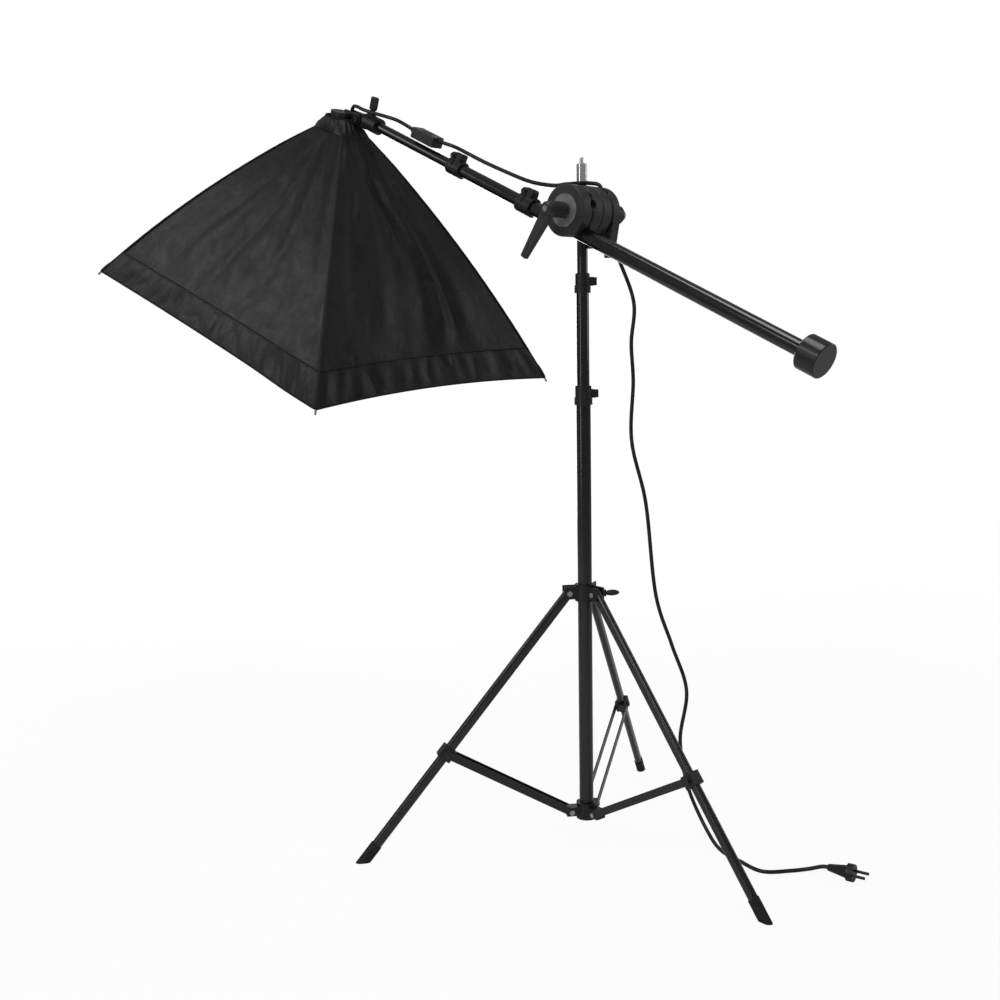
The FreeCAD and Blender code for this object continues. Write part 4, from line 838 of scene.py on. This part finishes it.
def stitch_points(start, end, outward, lift):
    """Twelve points of one stitch: three small diamonds, the middle one the thickest."""
    across = (end - start).normalized().cross(outward).normalized() * STITCH_HALF_WIDTH
    points = []
    for place, fullness in ((start, 0.2), ((start + end) / 2, 1.0), (end, 0.2)):
        centre = place + outward * (lift + 0.25 * MM * fullness)
        raised = outward * STITCH_HALF_HEIGHT * fullness
        points += [centre + across * fullness, centre + raised, centre - across * fullness, centre - raised]
    return points


def stitch_faces(first):
    """Sides and ends of the stitch whose points start at this index."""
    faces = []
    for row in (first, first + 4):
        for side in range(4):
            after = (side + 1) % 4
            faces.append((row + side, row + after, row + 4 + after, row + 4 + side))
    faces.append((first + 3, first + 2, first + 1, first))
    faces.append((first + 8, first + 9, first + 10, first + 11))
    return faces


def stitches():
    """Single stitches along the band's seam and just above the hem."""
    points = []
    faces = []
    for step in (BAND_STEP * 0.93, 0.013):
        for panel in range(4):
            middle = (Vector(CORNERS[panel]) + Vector(CORNERS[(panel + 1) % 4])) / 2
            outward = Vector((middle.x, middle.y, 0.8)).normalized()
            count = round(rim_length(panel) / STITCH_PITCH)
            for i in range(1, count):
                start = panel_point(panel, (i - 0.3) / count, step, folded=False)
                end = panel_point(panel, (i + 0.3) / count, step, folded=False)
                lift = 1.9 * MM + band_pucker(panel, i / count, step / BAND_STEP)
                faces += stitch_faces(len(points))
                points += stitch_points(start, end, outward, lift)
    make_piece("band_stitches", "lamp", "black_nylon", points, faces, SOFTBOX, finish="stitch_thread")


def silver_lining():
    """The silver cloth sewn just inside the black panels."""
    steps = list(np.linspace(BAND_STEP * 0.3, 0.955, 46))
    points = []
    for step in steps:
        points += ring_of(step, 3.2 * MM)
    count = 4 * COLUMNS
    faces = grid_faces(len(steps), count, closed=True)
    uv = fabric_uv(len(steps), count, steps)
    lining = make_piece("silver_lining", "lamp", "silver_cloth", points, faces, SOFTBOX, uv)
    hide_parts("softbox_lining")
    thicken(lining, 0.4 * MM)


def front_diffuser():
    """The white front cloth, drawn in between the ribs' tips and sagging in the middle."""
    rows = 40
    columns = 56
    points = []
    uv = []
    step = 0.02
    share = share_at(step)
    for row in range(rows + 1):
        v = row / rows * 2 - 1
        for column in range(columns + 1):
            u = column / columns * 2 - 1
            pull_x = 12 * MM * (1 - v * v) + 4 * MM
            pull_y = 3.5 * MM * (1 - u * u) + 4 * MM
            x = u * (HALF_LONG * share - pull_x)
            y = v * (HALF_SHORT * share - pull_y)
            rim = height_at(step) + 6 * MM * (1 - v * v) * abs(u) ** 3
            sag = -9 * MM * (1 - u * u) * (1 - v * v)
            ripple = 1.2 * MM * noise.noise(Vector((u * 3, v * 3, 1.7))) * (1 - u ** 4) * (1 - v ** 4)
            points.append((x, y, rim + sag + ripple))
            uv.append((x, y))
    faces = grid_faces(rows + 1, columns + 1, closed=False)
    cloth = make_piece("front_diffuser", "lamp", "white_cloth", points, faces, SOFTBOX, uv)
    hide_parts("softbox_diffuser")
    thicken(cloth, 0.6 * MM, 0.0)


def rib_tips():
    """The rods' bare ends and their small corner pockets at the rim."""
    for panel in range(4):
        corner = panel_point(panel, 0.0, 0.0, folded=False)
        above = panel_point(panel, 0.0, 0.07, folded=False)
        direction = (corner - above).normalized()
        tip = [above + direction * t * MM for t in (8, 20, 34, 45)]
        rod("rib_tip_" + PANEL_NAMES[panel], "lamp", "rib_steel", np.array(tip), 1.7 * MM, 12, SOFTBOX)
        pocket = [above + direction * t * MM for t in (6, 14, 22, 33, 37)]
        radii = np.array((2.2, 3.4, 3.8, 3.5, 2.6)) * MM
        name = "corner_pocket_" + PANEL_NAMES[panel]
        rod(name, "lamp", "black_nylon", np.array(pocket), radii, 14, SOFTBOX, "seam_tape")


# ---------------------------------------------------------------- power lead

LEAD_RADIUS = 3.0 * MM
SWITCH_MIDDLE = 21
SWITCH_ENTRY = 24.6


def on_boom(along, side, up):
    """A point given in millimetres in the boom's frame, in metres in the scene."""
    return tuple(BOOM @ Vector((along * MM, side * MM, up * MM)))


def millimetres(*point):
    """A point given in millimetres, in metres."""
    return tuple(value * MM for value in point)


def lead_stretch(name, path, start, end, bodies, replaced=()):
    """One stretch of cable between two marks on a path, riding on a body, or baked in place on no body when it
    lies between two.
    """
    part = path[start:end + 1]
    piece = rod(name, None if len(bodies) == 2 else bodies[0], "lead_pvc", part, LEAD_RADIUS, 14)
    if len(bodies) == 2:
        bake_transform(piece)
    if replaced:
        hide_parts(*replaced)


def floor_lead():
    """From the plug on the floor, up beside the column and over the head to its seam."""
    points = [
        millimetres(346, 153, 13.1),
        millimetres(334, 150.6, 12.6),
        millimetres(316, 142, 6.5),
        millimetres(296, 124, 3.2),
        millimetres(266, 93, 3.2),
        millimetres(220, 101, 3.2),
        millimetres(176, 115, 3.4),
        millimetres(130, 142, 16),
        millimetres(89, 148, 75),
        millimetres(80, 139, 153),
        millimetres(87, 146, 236),
        millimetres(70, 130, 310),
        millimetres(53, 113, 384),
        millimetres(40, 100, 545),
        millimetres(25, 85, 640),
        millimetres(27, 87, 733),
        millimetres(25, 85, 790),
        millimetres(28, 88, 850),
        millimetres(13, 73, 913),
        millimetres(4, 55, 955),
        millimetres(2, 46, 985),
        millimetres(9, 37, 1008),
        millimetres(17, 21, 1023.4),
        millimetres(18, -2, 1025),
        millimetres(13.6, -22, 1024),
    ]
    path, marks = smooth_path(points, 4 * MM)
    lead_stretch("lead_floor", path, marks[0], marks[8], ["root"], ["lead_drop"])
    lead_stretch("lead_lower", path, marks[8], marks[14], ["root", "middle_column"])
    lead_stretch("lead_upper", path, marks[14], marks[17], ["middle_column", "top_column"])
    lead_stretch("lead_head", path, marks[17], marks[20], ["top_column", "head_back"])
    over_head = ["head_back", "head_front"]
    lead_stretch("lead_over_head", path, marks[20], marks[24], over_head)


def boom_lead():
    """From the head's seam along the boom to the switch."""
    points = [
        millimetres(13.6, -22, 1024),
        millimetres(2, -38, 1022.4),
        on_boom(48, -14, 41.5),
        on_boom(70, -11.5, 35.5),
        on_boom(95, -9, 31),
        on_boom(150, -9, 27.5),
        on_boom(205, -10, 25.6),
        on_boom(243, -11, 25.6),
        on_boom(272, -8, 26.2),
        on_boom(290, -2, 25.4),
        on_boom(303, 0, SWITCH_ENTRY),
    ]
    path, marks = smooth_path(points, 3 * MM)
    lead_stretch("lead_boom_root", path, marks[0], marks[3], ["head_front", "boom_main"], ["lead_boom"])
    lead_stretch("lead_boom_middle", path, marks[3], marks[7], ["boom_main", "boom_middle"])
    lead_stretch("lead_boom_switch", path, marks[7], marks[10], ["boom_middle", "boom_tip"])


def lamp_lead():
    """From the switch past the bracket's knob and down into the lamp."""
    points = [
        on_boom(359, 0, SWITCH_MIDDLE),
        on_boom(368, 1, 22.5),
        on_boom(400, 8, 26),
        on_boom(430, 10, 23.5),
        on_boom(459, 12, 20),
        on_boom(491, 11, 16.5),
        on_boom(515, 6, 15),
        on_boom(530, 1, 11),
        on_boom(536, -2, 1),
    ]
    path, marks = smooth_path(points, 3 * MM)
    lead_stretch("lead_lamp_boom", path, marks[0], marks[3], ["boom_tip"], ["lead_lamp"])
    lead_stretch("lead_lamp_bracket", path, marks[3], marks[4], ["boom_tip", "bracket"])
    lead_stretch("lead_lamp_knob", path, marks[4], marks[5], ["bracket"])
    lead_stretch("lead_lamp_end", path, marks[5], marks[8], ["bracket", "lamp"])


def cable_sleeves():
    """Ribbed strain reliefs where the cable meets the switch."""
    for name, along, up, length in (
        ("relief_lamp_side", 359, SWITCH_MIDDLE, 11),
        ("relief_boom_side", 303, SWITCH_ENTRY, -1.5),
    ):
        path = [Vector(on_boom(along + t, 0, up + 0.05 * abs(t))) for t in np.linspace(0, length, 34)]
        ridge = (4.6 - 1.1 * np.linspace(0, 1, 34) + 0.45 * np.sin(np.linspace(0, 11, 34) * 3.2)) * MM
        rod(name, "boom_tip", "lead_pvc", np.array(path), ridge, 16)


# ---------------------------------------------------------------- small moulded details

def revolve(name, body, slot, outline, origin, axis, segments=48, finish=None):
    """A closed ring turned about an axis from (radius, height) corners in millimetres."""
    turn = Vector((0, 0, 1)).rotation_difference(Vector(axis)).to_matrix().to_4x4()
    turn.translation = Vector(origin)
    points = []
    for radius, height in outline:
        for i in range(segments):
            angle = 2 * math.pi * i / segments
            points.append((radius * MM * math.cos(angle), radius * MM * math.sin(angle), height * MM))
    faces = grid_faces(len(outline), segments, closed=True)
    last = (len(outline) - 1) * segments
    for i in range(segments):
        after = (i + 1) % segments
        faces.append((last + i, last + after, after, i))
    return make_piece(name, body, slot, points, faces, turn, finish=finish, smooth=False)


BEAD_OUTLINE = ((-1, -1.0), (0.35, -0.7), (0.6, 0), (0.35, 0.7), (-1, 1.0))


def collar_rings():
    """Raised beads round the two lock collars."""
    for name, body, bottom, radius in (
        ("lower", "root", 698, 13.6),
        ("upper", "middle_column", 866, 12.1),
    ):
        for i, height in enumerate((1.8, 7.2)):
            outline = [(radius + proud, level) for proud, level in BEAD_OUTLINE]
            origin = millimetres(0, 0, bottom + height)
            revolve("%s_collar_bead_%d" % (name, i), body, "black_plastic", outline, origin, (0, 0, 1))


# ---------------------------------------------------------------- stage, light and camera

def area_light(name, location, target, width, height, power):
    """A rectangular soft light that the camera doesn't see."""
    data = bpy.data.lights.new(name, "AREA")
    data.shape = "RECTANGLE"
    data.size = width
    data.size_y = height
    data.energy = power
    light = bpy.data.objects.new(name, data)
    light.location = location
    direction = Vector(target) - Vector(location)
    light.rotation_euler = direction.to_track_quat("-Z", "Y").to_euler()
    light.visible_camera = False
    bpy.context.scene.collection.objects.link(light)


def seamless_white():
    """A white sweep: to the camera plain white with faint contact shadows, to the rest a pale floor."""
    g = Graph("studio_floor")
    g.set(Base_Color=g.blend(g.noise(2, 3), grey(0.78), grey(0.80)), Roughness=0.7, Specular_IOR_Level=0.1)
    lit = g.shader.outputs["BSDF"]
    distance = g.add("ShaderNodeVectorMath", "Value", {"operation": "LENGTH"})
    g.links.new(g.place(), distance.node.inputs[0])
    strength = g.ramp(distance, 1.0, 4.5, 1.05, 1.14)
    glow = g.add("ShaderNodeEmission", "Emission", Color=grey(1.0), Strength=strength)
    mix = g.nodes.new("ShaderNodeMixShader")
    seen = g.add("ShaderNodeLightPath", "Is Camera Ray")
    g.feed(mix.inputs[0], g.math("MULTIPLY", seen, 0.88))
    g.links.new(lit, mix.inputs[1])
    g.links.new(glow, mix.inputs[2])
    g.links.new(mix.outputs[0], g.nodes["Material Output"].inputs["Surface"])
    return g.material


def white_surround():
    """White to the camera; to the object's surfaces it is a dimmer room, so that blacks stay deep."""
    world = bpy.data.worlds.new("studio")
    world.use_nodes = True
    nodes = world.node_tree.nodes
    seen = nodes.new("ShaderNodeLightPath")
    strength = nodes.new("ShaderNodeMapRange")
    strength.inputs["To Min"].default_value = 0.22
    strength.inputs["To Max"].default_value = 1.0
    world.node_tree.links.new(seen.outputs["Is Camera Ray"], strength.inputs["Value"])
    world.node_tree.links.new(strength.outputs["Result"], nodes["Background"].inputs["Strength"])
    nodes["Background"].inputs["Color"].default_value = (1, 1, 1, 1)
    bpy.context.scene.world = world


def studio():
    """A pale floor, a broad key on the left, narrow strips for the tubes' streaks and a soft top light."""
    mesh = bpy.data.meshes.new("studio_floor")
    reach = 40.0
    corners = [(-reach, -reach, 0), (reach, -reach, 0), (reach, reach, 0), (-reach, reach, 0)]
    mesh.from_pydata(corners, [], [(0, 1, 2, 3)])
    mesh.materials.append(seamless_white())
    floor = bpy.data.objects.new("studio_floor", mesh)
    floor.location.z = -0.5 * MM
    bpy.context.scene.collection.objects.link(floor)
    white_surround()
    area_light("key", (-1.8, -1.35, 1.95), (-0.5, 0, 0.8), 0.7, 0.7, 3.2)
    area_light("left_strip", (-0.4, -3.2, 1.2), (0, 0, 0.8), 0.30, 2.0, 9)
    area_light("high_bar", (0.6, -2.3, 2.3), (0.2, 0, 0.9), 2.4, 0.35, 12)
    area_light("back_left", (-2.2, 1.6, 1.1), (0, 0, 0.8), 0.7, 2.0, 14)
    area_light("right_strip", (1.2, 2.2, 1.5), (-0.3, 0, 0.8), 0.3, 1.6, 5)
    area_light("top", (0.3, -0.3, 3.0), (0, 0, 0.8), 1.0, 1.0, 12)
    bpy.context.scene.view_settings.view_transform = "Standard"
    bpy.context.scene.view_settings.look = "None"


def camera():
    """A 44 mm lens at chest height, looking slightly down from the front right."""
    azimuth = math.radians(44.87)
    elevation = math.radians(7.384)
    roll = math.radians(-0.954)
    right = Vector((math.cos(azimuth), math.sin(azimuth), 0))
    level_back = Vector((math.sin(azimuth), -math.cos(azimuth), 0))
    back = level_back * math.cos(elevation) + Vector((0, 0, math.sin(elevation)))
    up = back.cross(right)
    turned_right = right * math.cos(roll) + up * math.sin(roll)
    turned_up = up * math.cos(roll) - right * math.sin(roll)
    data = bpy.data.cameras.new("camera")
    data.lens = 44.10
    data.sensor_width = 36
    item = bpy.data.objects.new("camera", data)
    matrix = Matrix((turned_right, turned_up, back)).transposed().to_4x4()
    matrix.translation = Vector((1.2252, -1.4141, 0.796))
    item.matrix_world = matrix
    bpy.context.scene.collection.objects.link(item)
    bpy.context.scene.camera = item


finish_cad_nodes()
softbox_skin()
neck_cap()
rib_piping()
rim_band()
stitches()
silver_lining()
front_diffuser()
rib_tips()
floor_lead()
boom_lead()
lamp_lead()
cable_sleeves()
collar_rings()
studio()
camera()
